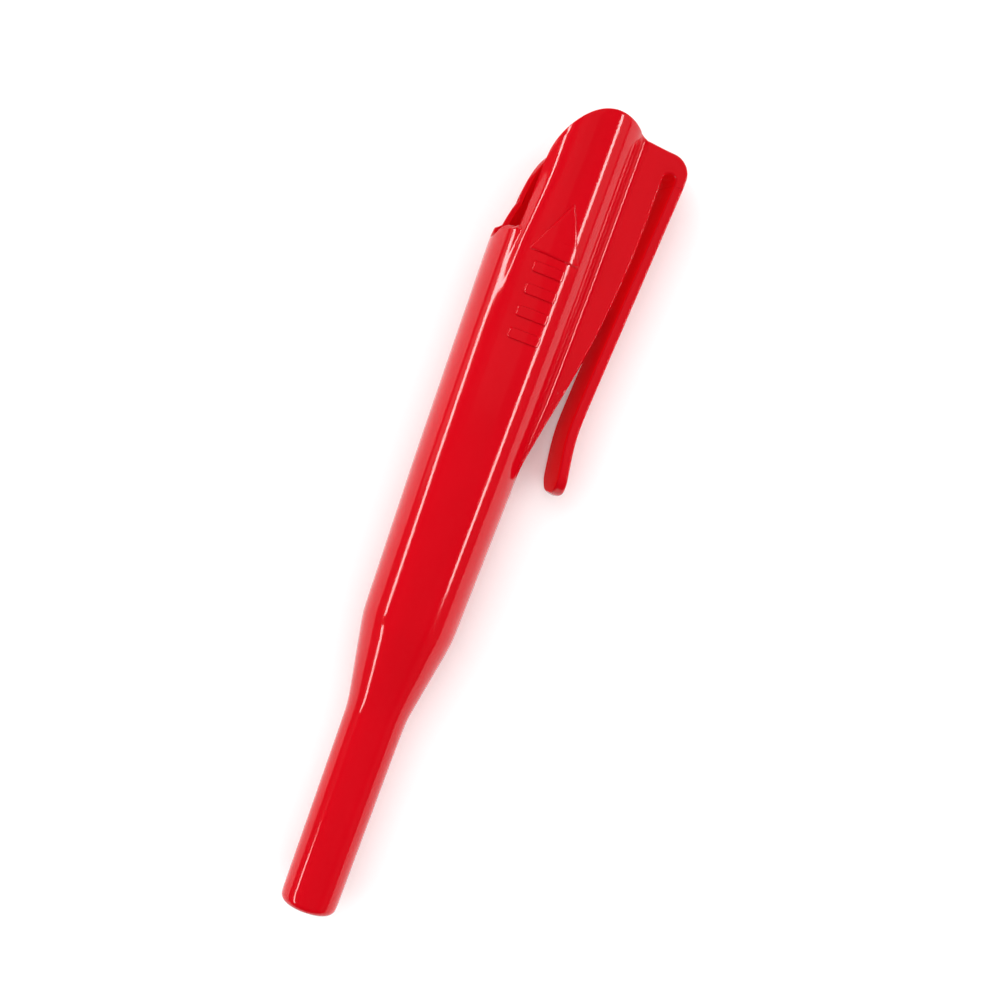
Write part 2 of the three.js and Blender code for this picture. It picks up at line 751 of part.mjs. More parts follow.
// The origin is under the middle of the part, on the table.
const pencil = new THREE.Group();
pencil.add(tilted);
pencil.updateMatrixWorld(true);
const bounds = new THREE.Box3().setFromObject(pencil, true);
const middle = bounds.getCenter(new THREE.Vector3());
pencil.position.set(-middle.x, -middle.y, -bounds.min.z);

export default pencil;
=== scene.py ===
"""A construction marking pencil in its red holster, dressed for rendering.

Sizes are in millimetres in the pencil's own frame: x points to the pocket clip, y from the holster's nose to
its mouth, and z to the face with the arrow. `to_table` lays that frame on the table, in metres.
"""

import json
import logging
import math
from dataclasses import dataclass
from enum import Enum
from typing import Any

import bmesh
import bpy
import numpy as np
from mathutils import Matrix


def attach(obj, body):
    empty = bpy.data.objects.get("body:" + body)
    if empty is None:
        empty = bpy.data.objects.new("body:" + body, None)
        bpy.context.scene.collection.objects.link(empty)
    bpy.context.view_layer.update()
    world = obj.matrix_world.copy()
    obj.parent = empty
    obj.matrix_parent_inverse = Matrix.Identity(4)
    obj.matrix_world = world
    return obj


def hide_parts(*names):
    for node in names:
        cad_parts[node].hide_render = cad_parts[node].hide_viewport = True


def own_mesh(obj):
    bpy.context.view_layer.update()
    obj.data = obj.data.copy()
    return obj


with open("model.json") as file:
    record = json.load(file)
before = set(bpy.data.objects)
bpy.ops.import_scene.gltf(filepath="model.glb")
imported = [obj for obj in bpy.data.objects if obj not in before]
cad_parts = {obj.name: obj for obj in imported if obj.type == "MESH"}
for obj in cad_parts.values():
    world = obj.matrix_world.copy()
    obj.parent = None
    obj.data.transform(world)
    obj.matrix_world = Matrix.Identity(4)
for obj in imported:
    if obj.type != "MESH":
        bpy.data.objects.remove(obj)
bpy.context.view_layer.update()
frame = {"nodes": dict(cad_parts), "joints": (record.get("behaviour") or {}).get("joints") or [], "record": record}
LOG = logging.getLogger("marking_pencil")

Array = np.ndarray
Pair = tuple[float, float]
Triple = tuple[float, float, float]
Mesh = tuple[Array, list[Array]]
Stop = tuple[float, tuple[float, float, float, float]]

MM = 0.001
WELD = 2e-7
QUARTER = math.pi / 2
WHITE = (1.0, 1.0, 1.0, 1.0)
BUTTON_END = 131.6

JOINTS = {joint["name"]: joint for joint in frame["joints"]}
MOUNTS = {mount["name"]: mount for mount in frame["record"]["mounts"]}
ROLL = math.asin(JOINTS["clip_flex"]["axis"][0])
PITCH = math.asin(JOINTS["pencil_slide"]["axis"][2])
ORIGIN = np.array(MOUNTS["button_end"]["pos_m"]) - BUTTON_END * MM * np.array(MOUNTS["button_end"]["axis"])


def to_table(points: Array) -> Array:
    """Lays points of the pencil's own frame on the table: a roll about y, a pitch about x, then the origin.

    Args:
        points: places in millimetres, the last axis being x, y, z.

    Returns:
        The places in metres in the row frame.
    """
    x, y, z = np.moveaxis(np.asarray(points, float), -1, 0)
    across = x * math.cos(ROLL) + z * math.sin(ROLL)
    rise = z * math.cos(ROLL) - x * math.sin(ROLL)
    along = y * math.cos(PITCH) - rise * math.sin(PITCH)
    up = y * math.sin(PITCH) + rise * math.cos(PITCH)
    return np.stack([across, along, up], -1) * MM + ORIGIN


def polar(angle: Array, y: Array, radius: Array) -> Array:
    """Places (r sin a, y, r cos a) from angles in degrees, heights and radii, which broadcast together."""
    turn, height, reach = np.broadcast_arrays(np.radians(angle), y, radius)
    return np.stack([reach * np.sin(turn), height, reach * np.cos(turn)], -1)


def fold(angle: Array) -> Array:
    """Angles of the far half folded onto the near one."""
    turn = np.radians(angle)
    return np.degrees(np.arctan2(np.sin(turn), np.abs(np.cos(turn))))


def smooth_step(value: Array) -> Array:
    """0 below 0, 1 above 1 and the cubic 3t² - 2t³ between."""
    t = np.clip(value, 0.0, 1.0)
    return t * t * (3.0 - 2.0 * t)


def smooth_max(first: Array, second: Array, width: float) -> Array:
    """The larger of two values, with a parabola of this width where they cross, which makes a fillet."""
    gap = np.maximum(width - np.abs(first - second), 0.0)
    return np.maximum(first, second) + gap * gap / (4.0 * width)


def soft_bends(y: Array, heights: tuple[float, ...], radii: tuple[float, ...], ease: float) -> Array:
    """A radius that runs straight between stations, with each bend eased.

    It is the first straight line plus, at each bend, the change of slope times ease * log(1 + exp(d / ease)),
    where d is the distance past the bend.

    Args:
        y: heights at which the radius is wanted.
        heights: the stations' heights.
        radii: the stations' radii.
        ease: the height over which a bend is eased.

    Returns:
        The radius at each height.
    """
    slopes = np.diff(radii) / np.diff(heights)
    value = radii[0] + slopes[0] * (y - heights[0])
    for change, height in zip(np.diff(slopes), heights[1:-1]):
        value = value + change * ease * np.logaddexp(0.0, (y - height) / ease)
    return value


def grid_faces(rows: int, columns: int, wrap_rows: bool = False, wrap_columns: bool = False) -> Array:
    """The quads between the points of a grid, row by row.

    Args:
        rows: number of rows of points.
        columns: number of points in a row.
        wrap_rows: whether the last row joins the first.
        wrap_columns: whether each row's last point joins its first.

    Returns:
        Four point numbers for each quad.
    """
    i, j = np.meshgrid(
        np.arange(rows if wrap_rows else rows - 1),
        np.arange(columns if wrap_columns else columns - 1),
        indexing="ij",
    )
    right = (j + 1) % columns
    below = (i + 1) % rows
    quads = [i * columns + j, i * columns + right, below * columns + right, below * columns + j]
    return np.stack(quads, -1).reshape(-1, 4)


def rod_faces(rows: int, columns: int) -> list[Array]:
    """The faces of a rod whose rows of points are closed rings: its sides, its first end and its last end."""
    ring = np.arange(columns)[None, :]
    return [grid_faces(rows, columns, False, True), ring[:, ::-1], (rows - 1) * columns + ring]


def bezier(points: list[Pair], count: int) -> Array:
    """Points on a cubic curve: the sum of four control points with weights (1-t)³, 3t(1-t)² and so on."""
    t = np.linspace(0.0, 1.0, count)[:, None]
    a, b, c, d = (np.array(point) for point in points)
    return (1 - t) ** 3 * a + 3 * t * (1 - t) ** 2 * b + 3 * t ** 2 * (1 - t) * c + t ** 3 * d


def evenly(path: Array, count: int) -> Array:
    """A path's points set out again at even steps of its length."""
    steps = np.linalg.norm(np.diff(path, axis=0), axis=1)
    length = np.concatenate([[0.0], np.cumsum(steps)])
    wanted = np.linspace(0.0, length[-1], count)
    return np.stack([np.interp(wanted, length, path[:, axis]) for axis in range(path.shape[1])], -1)


def evenly_round(loop: Array, count: int) -> Array:
    """A closed loop's points set out again at even steps, from its first point on."""
    return evenly(np.concatenate([loop, loop[:1]]), count + 1)[:-1]


def rounded(profile: Array, reach: float, steps: int = 4, share: float = 0.4) -> Array:
    """A closed profile with each corner replaced by a parabola.

    Args:
        profile: the corners in order.
        reach: how far from its corner a parabola starts and ends.
        steps: number of points on each parabola.
        share: the most of an edge that the parabola at one of its ends takes up.

    Returns:
        The new profile.
    """
    before = np.roll(profile, 1, axis=0) - profile
    after = np.roll(profile, -1, axis=0) - profile
    near = np.linalg.norm(before, axis=1, keepdims=True)
    far = np.linalg.norm(after, axis=1, keepdims=True)
    start = profile + before / near * np.minimum(reach, share * near)
    end = profile + after / far * np.minimum(reach, share * far)
    t = np.linspace(0.0, 1.0, steps)[None, :, None]
    curve = (1 - t) ** 2 * start[:, None] + 2 * t * (1 - t) * profile[:, None] + t ** 2 * end[:, None]
    return curve.reshape(-1, 2)


def make_piece(name: str, points: Array, faces: list[Array], sharp: float = 50.0) -> bpy.types.Object:
    """Makes a closed mesh object from points of the pencil's own frame.

    Args:
        name: the object's name.
        points: places in millimetres.
        faces: arrays of point numbers, one array for each number of sides.
        sharp: edges that turn by more than this many degrees are shaded sharp.

    Returns:
        The object, with its faces outwards, at the origin.
    """
    mesh = bpy.data.meshes.new(name)
    rings = [list(map(int, face)) for group in faces for face in group]
    mesh.from_pydata(to_table(points.reshape(-1, 3)).tolist(), [], rings)
    work = bmesh.new()
    work.from_mesh(mesh)
    bmesh.ops.remove_doubles(work, verts=work.verts, dist=WELD)
    bmesh.ops.dissolve_degenerate(work, edges=work.edges, dist=WELD / 2)
    if work.calc_volume(signed=True) < 0:
        bmesh.ops.reverse_faces(work, faces=work.faces)
    work.to_mesh(mesh)
    work.free()
    mesh.polygons.foreach_set("use_smooth", np.ones(len(mesh.polygons), bool))
    mesh.set_sharp_from_angle(angle=math.radians(sharp))
    piece = bpy.data.objects.new(name, mesh)
    bpy.context.scene.collection.objects.link(piece)
    return piece


def facing(piece: bpy.types.Object) -> tuple[Array, Array]:
    """Each face's outward normal and its middle in millimetres, both in the pencil's own frame."""
    count = len(piece.data.polygons)
    normals = np.empty(count * 3)
    middles = np.empty(count * 3)
    piece.data.polygons.foreach_get("normal", normals)
    piece.data.polygons.foreach_get("center", middles)
    axes = (to_table(np.eye(3)) - ORIGIN) / MM
    return normals.reshape(-1, 3) @ axes.T, (middles.reshape(-1, 3) - ORIGIN) @ axes.T / MM


class Socket:
    """A shader value that can stand in a Python expression."""

    def __init__(self, tree: bpy.types.NodeTree, socket: bpy.types.NodeSocket) -> None:
        """Keeps the node tree and the output socket."""
        self.tree = tree
        self.socket = socket

    def _join(self, operation: str, first: Any, second: Any) -> "Socket":
        """Adds a Math node for two values, of which at least one is a socket."""
        node = self.tree.nodes.new("ShaderNodeMath")
        node.operation = operation
        for place, value in zip(node.inputs, (first, second)):
            if isinstance(value, Socket):
                self.tree.links.new(value.socket, place)
            else:
                place.default_value = value
        return Socket(self.tree, node.outputs[0])

    def __add__(self, other: Any) -> "Socket":
        """self + other."""
        return self._join("ADD", self, other)

    def __radd__(self, other: Any) -> "Socket":
        """other + self."""
        return self._join("ADD", other, self)

    def __sub__(self, other: Any) -> "Socket":
        """self - other."""
        return self._join("SUBTRACT", self, other)

    def __rsub__(self, other: Any) -> "Socket":
        """other - self."""
        return self._join("SUBTRACT", other, self)

    def __mul__(self, other: Any) -> "Socket":
        """self * other."""
        return self._join("MULTIPLY", self, other)

    def __rmul__(self, other: Any) -> "Socket":
        """other * self."""
        return self._join("MULTIPLY", other, self)


class Shader:
    """A material under construction."""

    def __init__(self, name: str) -> None:
        """Makes an empty material with its output and its main shader."""
        self.material = bpy.data.materials.new(name)
        self.material.use_nodes = True
        self.tree = self.material.node_tree
        self.tree.nodes.clear()
        output = self.tree.nodes.new("ShaderNodeOutputMaterial")
        self.surface = self.tree.nodes.new("ShaderNodeBsdfPrincipled")
        self.tree.links.new(self.surface.outputs["BSDF"], output.inputs["Surface"])

    def node(self, kind: str, output: str, stops: list[Stop] | None = None, **inputs: Any) -> Socket:
        """Adds a node.

        Args:
            kind: the node's type, without the words ShaderNode.
            output: the name of the output that is wanted.
            stops: a colour ramp's two stops, each a position and a colour.
            inputs: values or sockets by input name, with _ for a space.

        Returns:
            The named output.
        """
        made = self.tree.nodes.new("ShaderNode" + kind)
        for number, (position, colour) in enumerate(stops or []):
            stop = made.color_ramp.elements[number]
            stop.position = position
            stop.color = colour
        for key, value in inputs.items():
            self.put(made, key.replace("_", " "), value)
        return Socket(self.tree, made.outputs[output])

    def put(self, target: bpy.types.Node, name: str, value: Any) -> None:
        """Sets or links one input of a node."""
        place = target.inputs[name]
        if isinstance(value, Socket):
            self.tree.links.new(value.socket, place)
        else:
            place.default_value = value

    def coat(self, **inputs: Any) -> bpy.types.Material:
        """Sets or links inputs of the main shader, named with _ for a space, and gives the material."""
        for key, value in inputs.items():
            self.put(self.surface, key.replace("_", " "), value)
        return self.material


class Family(Enum):
    """Kinds of surface. The value is how closely the pattern lies along x, y and z."""

    MOULDED = (1.0, 0.35, 1.0)
    RUBBER = (1.0, 1.0, 1.0)
    METAL = (1.0, 0.05, 1.0)


@dataclass(frozen=True)
class Finish:
    """One finish: its colour and how the light meets it.

    `colour` and `shade` are the two near colours that it varies between. `roughness` is a mean and a change.
    `wave` and `grain` are each a pattern's size and depth, in metres. `glow` is the strength of a painted glow in
    its own colour.
    """

    name: str
    family: Family
    colour: Triple
    shade: Triple
    roughness: Pair
    wave: Pair
    grain: Pair
    specular: float = 0.33
    glow: float = 0.0

    def build(self) -> bpy.types.Material:
        """Makes the material.

        The colour runs between the two shades on slow noise, and the roughness follows finer noise. The slow
        wave, as in cooled plastic or drawn metal, and the fine grain are added to the normal.

        Returns:
            The new material.
        """
        shader = Shader(self.name)
        mean, change = self.roughness
        place = shader.node("TexCoord", "Object")
        along = shader.node("Mapping", "Vector", Vector=place, Scale=self.family.value)
        wave = shader.node("TexNoise", "Fac", Vector=along, Scale=1.0 / self.wave[0], Detail=2.0)
        grain = shader.node("TexNoise", "Fac", Vector=along, Scale=1.0 / self.grain[0], Detail=3.0)
        slow = shader.node("Bump", "Normal", Height=wave, Distance=self.wave[1], Strength=1.0)
        fine = shader.node("Bump", "Normal", Height=grain, Distance=self.grain[1], Strength=1.0, Normal=slow)
        stops = [(0.3, (*self.colour, 1.0)), (0.7, (*self.shade, 1.0))]
        return shader.coat(
            Base_Color=shader.node("ValToRGB", "Color", stops, Fac=wave),
            Roughness=(grain - 0.5) * change + mean,
            Metallic=float(self.family is Family.METAL),
            Specular_IOR_Level=self.specular,
            Emission_Color=(*self.colour, 1.0),
            Emission_Strength=self.glow,
            Normal=fine,
        )


RED = Finish(
    "red_gloss", Family.MOULDED, colour=(0.575, 0.0016, 0.0075), shade=(0.545, 0.0014, 0.0065),
    roughness=(0.085, 0.04), wave=(0.007, 2.2e-6), grain=(0.0009, 3.0e-7),
)
# Painted glow: a darker red that shines in its own colour though it is no lamp, with little reflection, put on the
# bore, the slot and the strip's inner face so they never fall into shade.
RED_PAINTED_GLOW = Finish(
    "red_painted_glow", Family.MOULDED, colour=(0.45, 0.001, 0.003), shade=(0.42, 0.0009, 0.0025),
    roughness=(0.6, 0.1), wave=(0.007, 2.2e-6), grain=(0.0009, 3.0e-7), specular=0.05, glow=0.55,
)
BUTTON_RED = Finish(
    "button_red", Family.MOULDED, colour=(0.58, 0.003, 0.007), shade=(0.53, 0.0025, 0.006),
    roughness=(0.24, 0.10), wave=(0.006, 2.0e-6), grain=(0.0005, 6.0e-7),
)
BLACK = Finish(
    "black_plastic", Family.MOULDED, colour=(0.018, 0.018, 0.020), shade=(0.026, 0.026, 0.028),
    roughness=(0.42, 0.16), wave=(0.005, 2.0e-6), grain=(0.0003, 2.5e-6),
)
RUBBER = Finish(
    "grip_rubber", Family.RUBBER, colour=(0.012, 0.012, 0.012), shade=(0.020, 0.020, 0.020),
    roughness=(0.72, 0.18), wave=(0.004, 4.0e-6), grain=(0.0002, 6.0e-6),
)
STEEL = Finish(
    "drawn_steel", Family.METAL, colour=(0.60, 0.61, 0.62), shade=(0.52, 0.53, 0.54),
    roughness=(0.26, 0.14), wave=(0.0012, 8.0e-7), grain=(0.00012, 4.0e-7),
)
BRASS = Finish(
    "turned_brass", Family.METAL, colour=(0.76, 0.54, 0.22), shade=(0.66, 0.46, 0.18),
    roughness=(0.27, 0.14), wave=(0.0012, 8.0e-7), grain=(0.00012, 4.0e-7),
)
GRAPHITE = Finish(
    "graphite", Family.MOULDED, colour=(0.05, 0.05, 0.055), shade=(0.08, 0.08, 0.085),
    roughness=(0.5, 0.2), wave=(0.002, 2.0e-6), grain=(0.0002, 1.5e-6),
)


class Wardrobe:
    """Makes each finish once and hands it out."""

    def __init__(self) -> None:
        """Starts empty."""
        self.made: dict[str, bpy.types.Material] = {}

    def material(self, finish: Finish) -> bpy.types.Material:
        """A finish's material, made when it is first asked for."""
        if finish.name not in self.made:
            self.made[finish.name] = finish.build()
        return self.made[finish.name]

    def dress(self, piece: bpy.types.Object, finish: Finish) -> None:
        """Gives a piece one finish in all its slots."""
        piece.data.materials.clear()
        piece.data.materials.append(self.material(finish))

    def line(self, piece: bpy.types.Object, finish: Finish, chosen: Array) -> None:
        """Gives some faces of a dressed piece a second finish.

        Args:
            piece: the piece.
            finish: the second finish.
            chosen: whether each face gets it.
        """
        piece.data.materials.append(self.material(finish))
        piece.data.polygons.foreach_set("material_index", chosen.astype(np.int32))


def finish_piece(
    piece: bpy.types.Object, wardrobe: Wardrobe, finish: Finish, body: str, stands_for: str = "",
) -> None:
    """Dresses a piece, puts it on its body and hides the CAD node it stands for."""
    wardrobe.dress(piece, finish)
    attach(piece, body)
    if stands_for:
        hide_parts(stands_for)
    LOG.info("%s: %d points on %s", piece.name, len(piece.data.vertices), body)


@dataclass(frozen=True)
class MouthEdge:
    """One half of the mouth's edge: up the tongue's side, over its crown and down to the clip.

    `side` and `crown` are places along x. `drop` is how far the crown lies below the mouth's top, `rise` the
    height of the side's quarter ellipse, and `level` and `lean` are the handles of the curve from the crown
    to the clip.
    """

    near: bool
    side: float
    crown: float
    drop: float
    rise: float
    level: float
    lean: Pair


NEAR = MouthEdge(near=True, side=-6.05, crown=2.85, drop=0.0, rise=11.2, level=2.5, lean=(2.1, 0.78))
FAR = MouthEdge(near=False, side=-6.05, crown=1.82, drop=5.3, rise=12.2, level=2.0, lean=(2.5, 0.4))


@dataclass(frozen=True)
class Holster:
    """The holster's shell. Angles are in degrees from z, positive towards the clip.

    `vent_rows` and `floor_rows` are radii and heights round the vent: of the nose's end, and of the bore's.
    """

    heights: tuple[float, ...] = (0.0, 34.3, 49.0, 75.6, 110.0, 138.7)
    radii: tuple[float, ...] = (4.7, 5.04, 7.75, 8.42, 9.0, 9.1)
    bore_heights: tuple[float, ...] = (1.6, 34.5, 49.6, 75.6, 110.0, 138.7)
    bore_radii: tuple[float, ...] = (3.4, 3.5, 6.25, 6.93, 7.5, 7.6)
    bend_ease: float = 0.7
    nose_edge: float = 1.4
    vent_rows: tuple[Pair, ...] = ((2.0, 1.3), (2.0, 0.2), (2.2, 0.0), (2.6, 0.0))
    floor_rows: tuple[Pair, ...] = ((3.35, 1.75), (3.1, 1.6), (2.4, 1.6), (2.1, 1.5))
    bore_foot: float = 2.0

    # The tongue's proud crown, and the step that draws the wall in beside it.
    curl_start: float = 98.0
    raised: float = 0.45
    raise_reach: float = 17.0
    fade_from: float = -19.6
    fade_reach: float = 26.0
    drop: float = 1.4
    drop_reach: float = 30.0
    middle: float = -41.0
    width: float = 3.2
    shift: float = 112.0
    shift_reach: float = 20.0
    shift_turn: float = 9.4
    shift_widen: float = 3.3
    limit: float = 3.0
    shoulder: float = 115.5
    shoulder_reach: float = 2.0
    crease: float = 0.12
    curl_wall: float = 1.1

    # The thumb notch: the near half's level step, and the far half's handles as angle and height.
    notch: float = 113.6
    notch_angle: float = -90.0
    notch_handle: Pair = (-8.65, 0.6)
    step_height: float = 2.3
    step_corner: float = 1.6
    step_start: float = 0.65
    step_turn: float = 0.4
    step_rise: float = 2.6
    far_handles: tuple[Pair, Pair] = ((-66.0, 0.0), (-68.5, 4.2))
    clip_corner: Pair = (9.4, 137.0)
    clip_slope: float = -0.11

    # The gusset's edge and faces, and the fillet from the shell up to them.
    fin_heights: Pair = (84.0, 124.0)
    fin_reach: Triple = (8.35, 13.5, 13.6)
    fin_slope: float = 0.27
    fin_foot: Pair = (7.65, 0.085)
    fin_ease: float = 1.8
    fin_low: float = 78.0
    fin_side: float = 1.8874
    fin_flare: float = 0.204819
    fin_margin: float = 0.9
    fillet: float = 2.0
    fillet_least: float = 0.001
    fillet_margin: float = 0.5
    fillet_share: float = 0.9
    fillet_start: float = 56.0
    fillet_end: float = 68.6
    sink: float = 0.004
    sink_deep: float = 0.5
    sink_turn: float = 0.1
    hidden_drop: float = 0.06

    # How finely the shell is drawn.
    split: float = 96.0
    rim_share: float = 0.97
    rim_round: float = 0.3
    rim_steps: int = 6
    edge_rows: int = 9
    wall_rows: int = 150
    mouth_rows: int = 90
    bore_mouth_rows: int = 46
    bore_rows: int = 90
    half_columns: int = 120
    fillet_columns: int = 26
    hidden_columns: int = 8
    curve_points: int = 40
    flank_points: int = 60
    crest_points: int = 120
    search_low: float = -89.5
    halvings: int = 40

    def circle(self, y: Array) -> Array:
        """The shell's outer radius, before its curl and its gusset."""
        return soft_bends(y, self.heights, self.radii, self.bend_ease)

    def curl_depth(self, angle: Array, y: Array) -> Array:
        """How far the shell is drawn in, less than zero where it stands proud.

        The near half is raised over its crown, fading towards the clip. Both halves fall away to the left of
        `middle` by a logistic step, drop / (1 + exp((angle - middle) / width)). Under the notch the step ends
        in a crease where it meets the shell's circle.

        Args:
            angle: angles from -180 to 180 degrees, or folded beyond.
            y: heights.

        Returns:
            The depth at each place.
        """
        folded = fold(angle)
        near = np.cos(np.radians(angle)) > 0
        fade = 1.0 - smooth_step((folded - self.fade_from) / self.fade_reach)
        lift = np.where(near, self.raised, 0.0) * smooth_step((y - self.curl_start) / self.raise_reach) * fade
        moved = smooth_step((y - self.shift) / self.shift_reach)
        past = (folded - self.middle - self.shift_turn * moved) / (self.width + self.shift_widen * moved)
        fallen = self.drop * smooth_step((y - self.curl_start) / self.drop_reach) / (1.0 + np.exp(past))
        limit = self.limit * smooth_step((y - self.shoulder) / self.shoulder_reach)
        return -smooth_max(lift - fallen, -limit, self.crease)

    def fin_edge(self, y: Array) -> Array:
        """How far the gusset's edge stands off the axis: a parabola eased into the body's side below it."""
        low, high = self.fin_heights
        start, pull, end = self.fin_reach
        t = np.clip((y - low) / (high - low), 0.0, 1.0)
        upper = (1 - t) ** 2 * start + 2 * t * (1 - t) * pull + t ** 2 * end
        upper = upper - self.fin_slope * np.maximum(low - y, 0.0)
        lower = self.fin_foot[0] + self.fin_foot[1] * (y - self.fin_low)
        return smooth_max(upper, lower, self.fin_ease)

    def clip_line(self, x: Array) -> Array:
        """The height of the clip's top edge, which slopes down towards its outer side."""
        return self.clip_corner[1] + self.clip_slope * (x - self.clip_corner[0])

    def outer(self, angle: Array, y: Array) -> Array:
        """The shell's outer radius: the circle less the curl, with a fillet up to the gusset's flat faces.

        The fillet is an arc of radius f that touches the circle of radius R and the gusset's face
        z = c + m x. Its centre lies R + f off the axis at the angle p, where
        (R + f) (cos p - m sin p) = c + f sqrt(1 + m²). A ray at the angle a meets it at
        (R + f) cos(a - p) - sqrt(f² - (R + f)² sin²(a - p)). Beyond the fillet the surface sinks into the
        gusset.

        Args:
            angle: angles in degrees.
            y: heights.

        Returns:
            The radius at each place.
        """
        least_cosine = 0.05
        least_sine = 0.2
        turn = np.radians(fold(angle))
        radius = self.circle(y)
        base = radius - self.curl_depth(angle, y)
        c, m = self.fin_side, self.fin_flare
        root = math.hypot(1.0, m)
        corner = (np.sqrt((radius * root) ** 2 - c * c) - c * m) / root ** 2
        room = (self.fin_edge(y) - self.fillet_margin - corner) / self.fillet_share
        fillet = np.clip(room, self.fillet_least, self.fillet)
        reach = radius + fillet
        start = np.arccos((c + fillet * root) / (reach * root)) - math.atan(m)
        past = turn - start
        arc = reach * np.cos(past) - np.sqrt(np.maximum(fillet ** 2 - (reach * np.sin(past)) ** 2, 0.0))
        end = np.arctan2(reach * np.sin(start) + fillet * m / root, reach * np.cos(start) - fillet / root)
        face = c / np.maximum(np.cos(turn) - m * np.sin(turn), least_cosine)
        under = self.sink + self.sink_deep * smooth_step((turn - end) / self.sink_turn)
        cap = (self.fin_edge(y) - self.fin_margin) / np.maximum(np.sin(turn), least_sine)
        fin = np.where(turn > end, np.minimum(face - under, cap), np.where(past > 0, arc, 0.0))
        return np.where(room > 0, np.maximum(base, fin), base)

    def bore(self, angle: Array, y: Array) -> Array:
        """The bore's radius: the chamber, or the curl less its wall where that is smaller."""
        chamber = soft_bends(y, self.bore_heights, self.bore_radii, self.bend_ease)
        curled = self.circle(y) - self.curl_depth(angle, y) - self.curl_wall
        return np.minimum(chamber, curled)

    def angle_at(self, x: Array, y: Array, near: bool = True) -> Array:
        """The folded angle where one half's outer side lies at x, found by halving an interval."""
        low = np.full(np.broadcast(x, y).shape, self.search_low)
        high = np.full_like(low, self.fillet_end)
        for _ in range(self.halvings):
            middle = (low + high) / 2
            angle = middle if near else 180.0 - middle
            beyond = self.outer(angle, y) * np.sin(np.radians(middle)) > x
            high = np.where(beyond, middle, high)
            low = np.where(beyond, low, middle)
        return (low + high) / 2

    def crest(self, edge: MouthEdge) -> Array:
        """The mouth's edge from the crown to the clip's top, in x and y."""
        top = self.heights[-1] - edge.drop
        x, y = self.clip_corner
        handles = [(edge.crown + edge.level, top), (x - edge.lean[0], y + edge.lean[1])]
        return bezier([(edge.crown, top), *handles, (x, y)], self.crest_points)

    def notch_edge(self, edge: MouthEdge) -> Array:
        """One half of the notch's edge, from its middle to the tongue's side, in x and y.

        The near half rises to a short level step and turns up from it. The far half is one curve, drawn in
        angle and height.
        """
        side = edge.side
        if edge.near:
            level = self.notch + self.step_height
            corner = side - self.step_corner
            x, below = self.notch_handle
            start = (-self.circle(self.notch), self.notch)
            rise = [start, (x, level - below), (corner - self.step_start, level), (corner, level)]
            turn = self.step_turn
            up = [(corner, level), (side - turn, level), (side, level + turn), (side, level + self.step_rise)]
            return np.concatenate([bezier(rise, self.curve_points)[:-1], bezier(up, self.curve_points)])
        top = self.heights[-1] - edge.drop - edge.rise
        handles = [(angle, self.notch + above) for angle, above in self.far_handles]
        end = float(self.angle_at(np.array(side), np.array(top), False))
        path = bezier([(self.notch_angle, self.notch), *handles, (end, top)], 2 * self.curve_points)
        path[:, 0] = self.outer(180.0 - path[:, 0], path[:, 1]) * np.sin(np.radians(path[:, 0]))
        return path

    def rim(self, edge: MouthEdge) -> tuple[Array, Array]:
        """One half of the mouth's edge, from the notch's middle to the fillet of the gusset.

        Args:
            edge: which half.

        Returns:
            The folded angles and the heights.
        """
        crest = self.crest(edge)
        crown, top = crest[0]
        turn = np.linspace(math.pi, QUARTER, self.flank_points)
        flank = [crown + (crown - edge.side) * np.cos(turn), top - edge.rise + edge.rise * np.sin(turn)]
        path = np.concatenate([self.notch_edge(edge), np.stack(flank, -1), crest[1:]])
        last = self.circle(top) * math.sin(math.radians(self.fillet_start))
        path = evenly(path[path[:, 0] <= last], self.half_columns)
        angle = self.angle_at(path[:, 0], path[:, 1], edge.near)
        angle[0] = self.notch_angle
        return angle, path[:, 1]

    def root_columns(self, edge: MouthEdge) -> tuple[Array, Array]:
        """The columns over the gusset's fillet and, unseen, inside the gusset up to its middle plane.

        Args:
            edge: which half.

        Returns:
            The folded angles and the heights of the mouth's edge there.
        """
        angle = np.concatenate([
            np.linspace(self.fillet_start, self.fillet_end, self.fillet_columns + 1)[1:],
            np.linspace(self.fillet_end, 90.0, self.hidden_columns + 1)[1:],
        ])
        x = self.outer(angle, np.full_like(angle, self.clip_corner[1])) * np.sin(np.radians(angle))
        crest = self.crest(edge)
        top = np.interp(x, crest[:, 0], crest[:, 1])
        return angle, np.where(x > self.clip_corner[0], self.clip_line(x), top) - self.hidden_drop

    def columns(self) -> tuple[Array, Array, Array]:
        """The grid's columns round the shell.

        Returns:
            Each column's angle low on the body, its angle at the mouth and its height there.
        """
        near_angle, near_top = self.rim(NEAR)
        far_angle, far_top = self.rim(FAR)
        near_root, near_root_top = self.root_columns(NEAR)
        far_root, far_root_top = self.root_columns(FAR)
        base = np.linspace(self.notch_angle, self.fillet_start, self.half_columns)
        angle = np.concatenate([near_angle, near_root, 180.0 - far_root[-2::-1], 180.0 - far_angle[:0:-1]])
        top = np.concatenate([near_top, near_root_top, far_root_top[-2::-1], far_top[:0:-1]])
        low = np.concatenate([base, near_root, 180.0 - far_root[-2::-1], 180.0 - base[:0:-1]])
        return low, angle, top

    def fan(self, columns: tuple[Array, Array, Array], share: Array) -> tuple[Array, Array]:
        """The angles and heights of rows that lie a share of the way from `split` to the mouth's edge."""
        low, angle, top = columns
        part = share[:, None]
        return low + (angle - low) * part, self.split + (top - self.split) * part

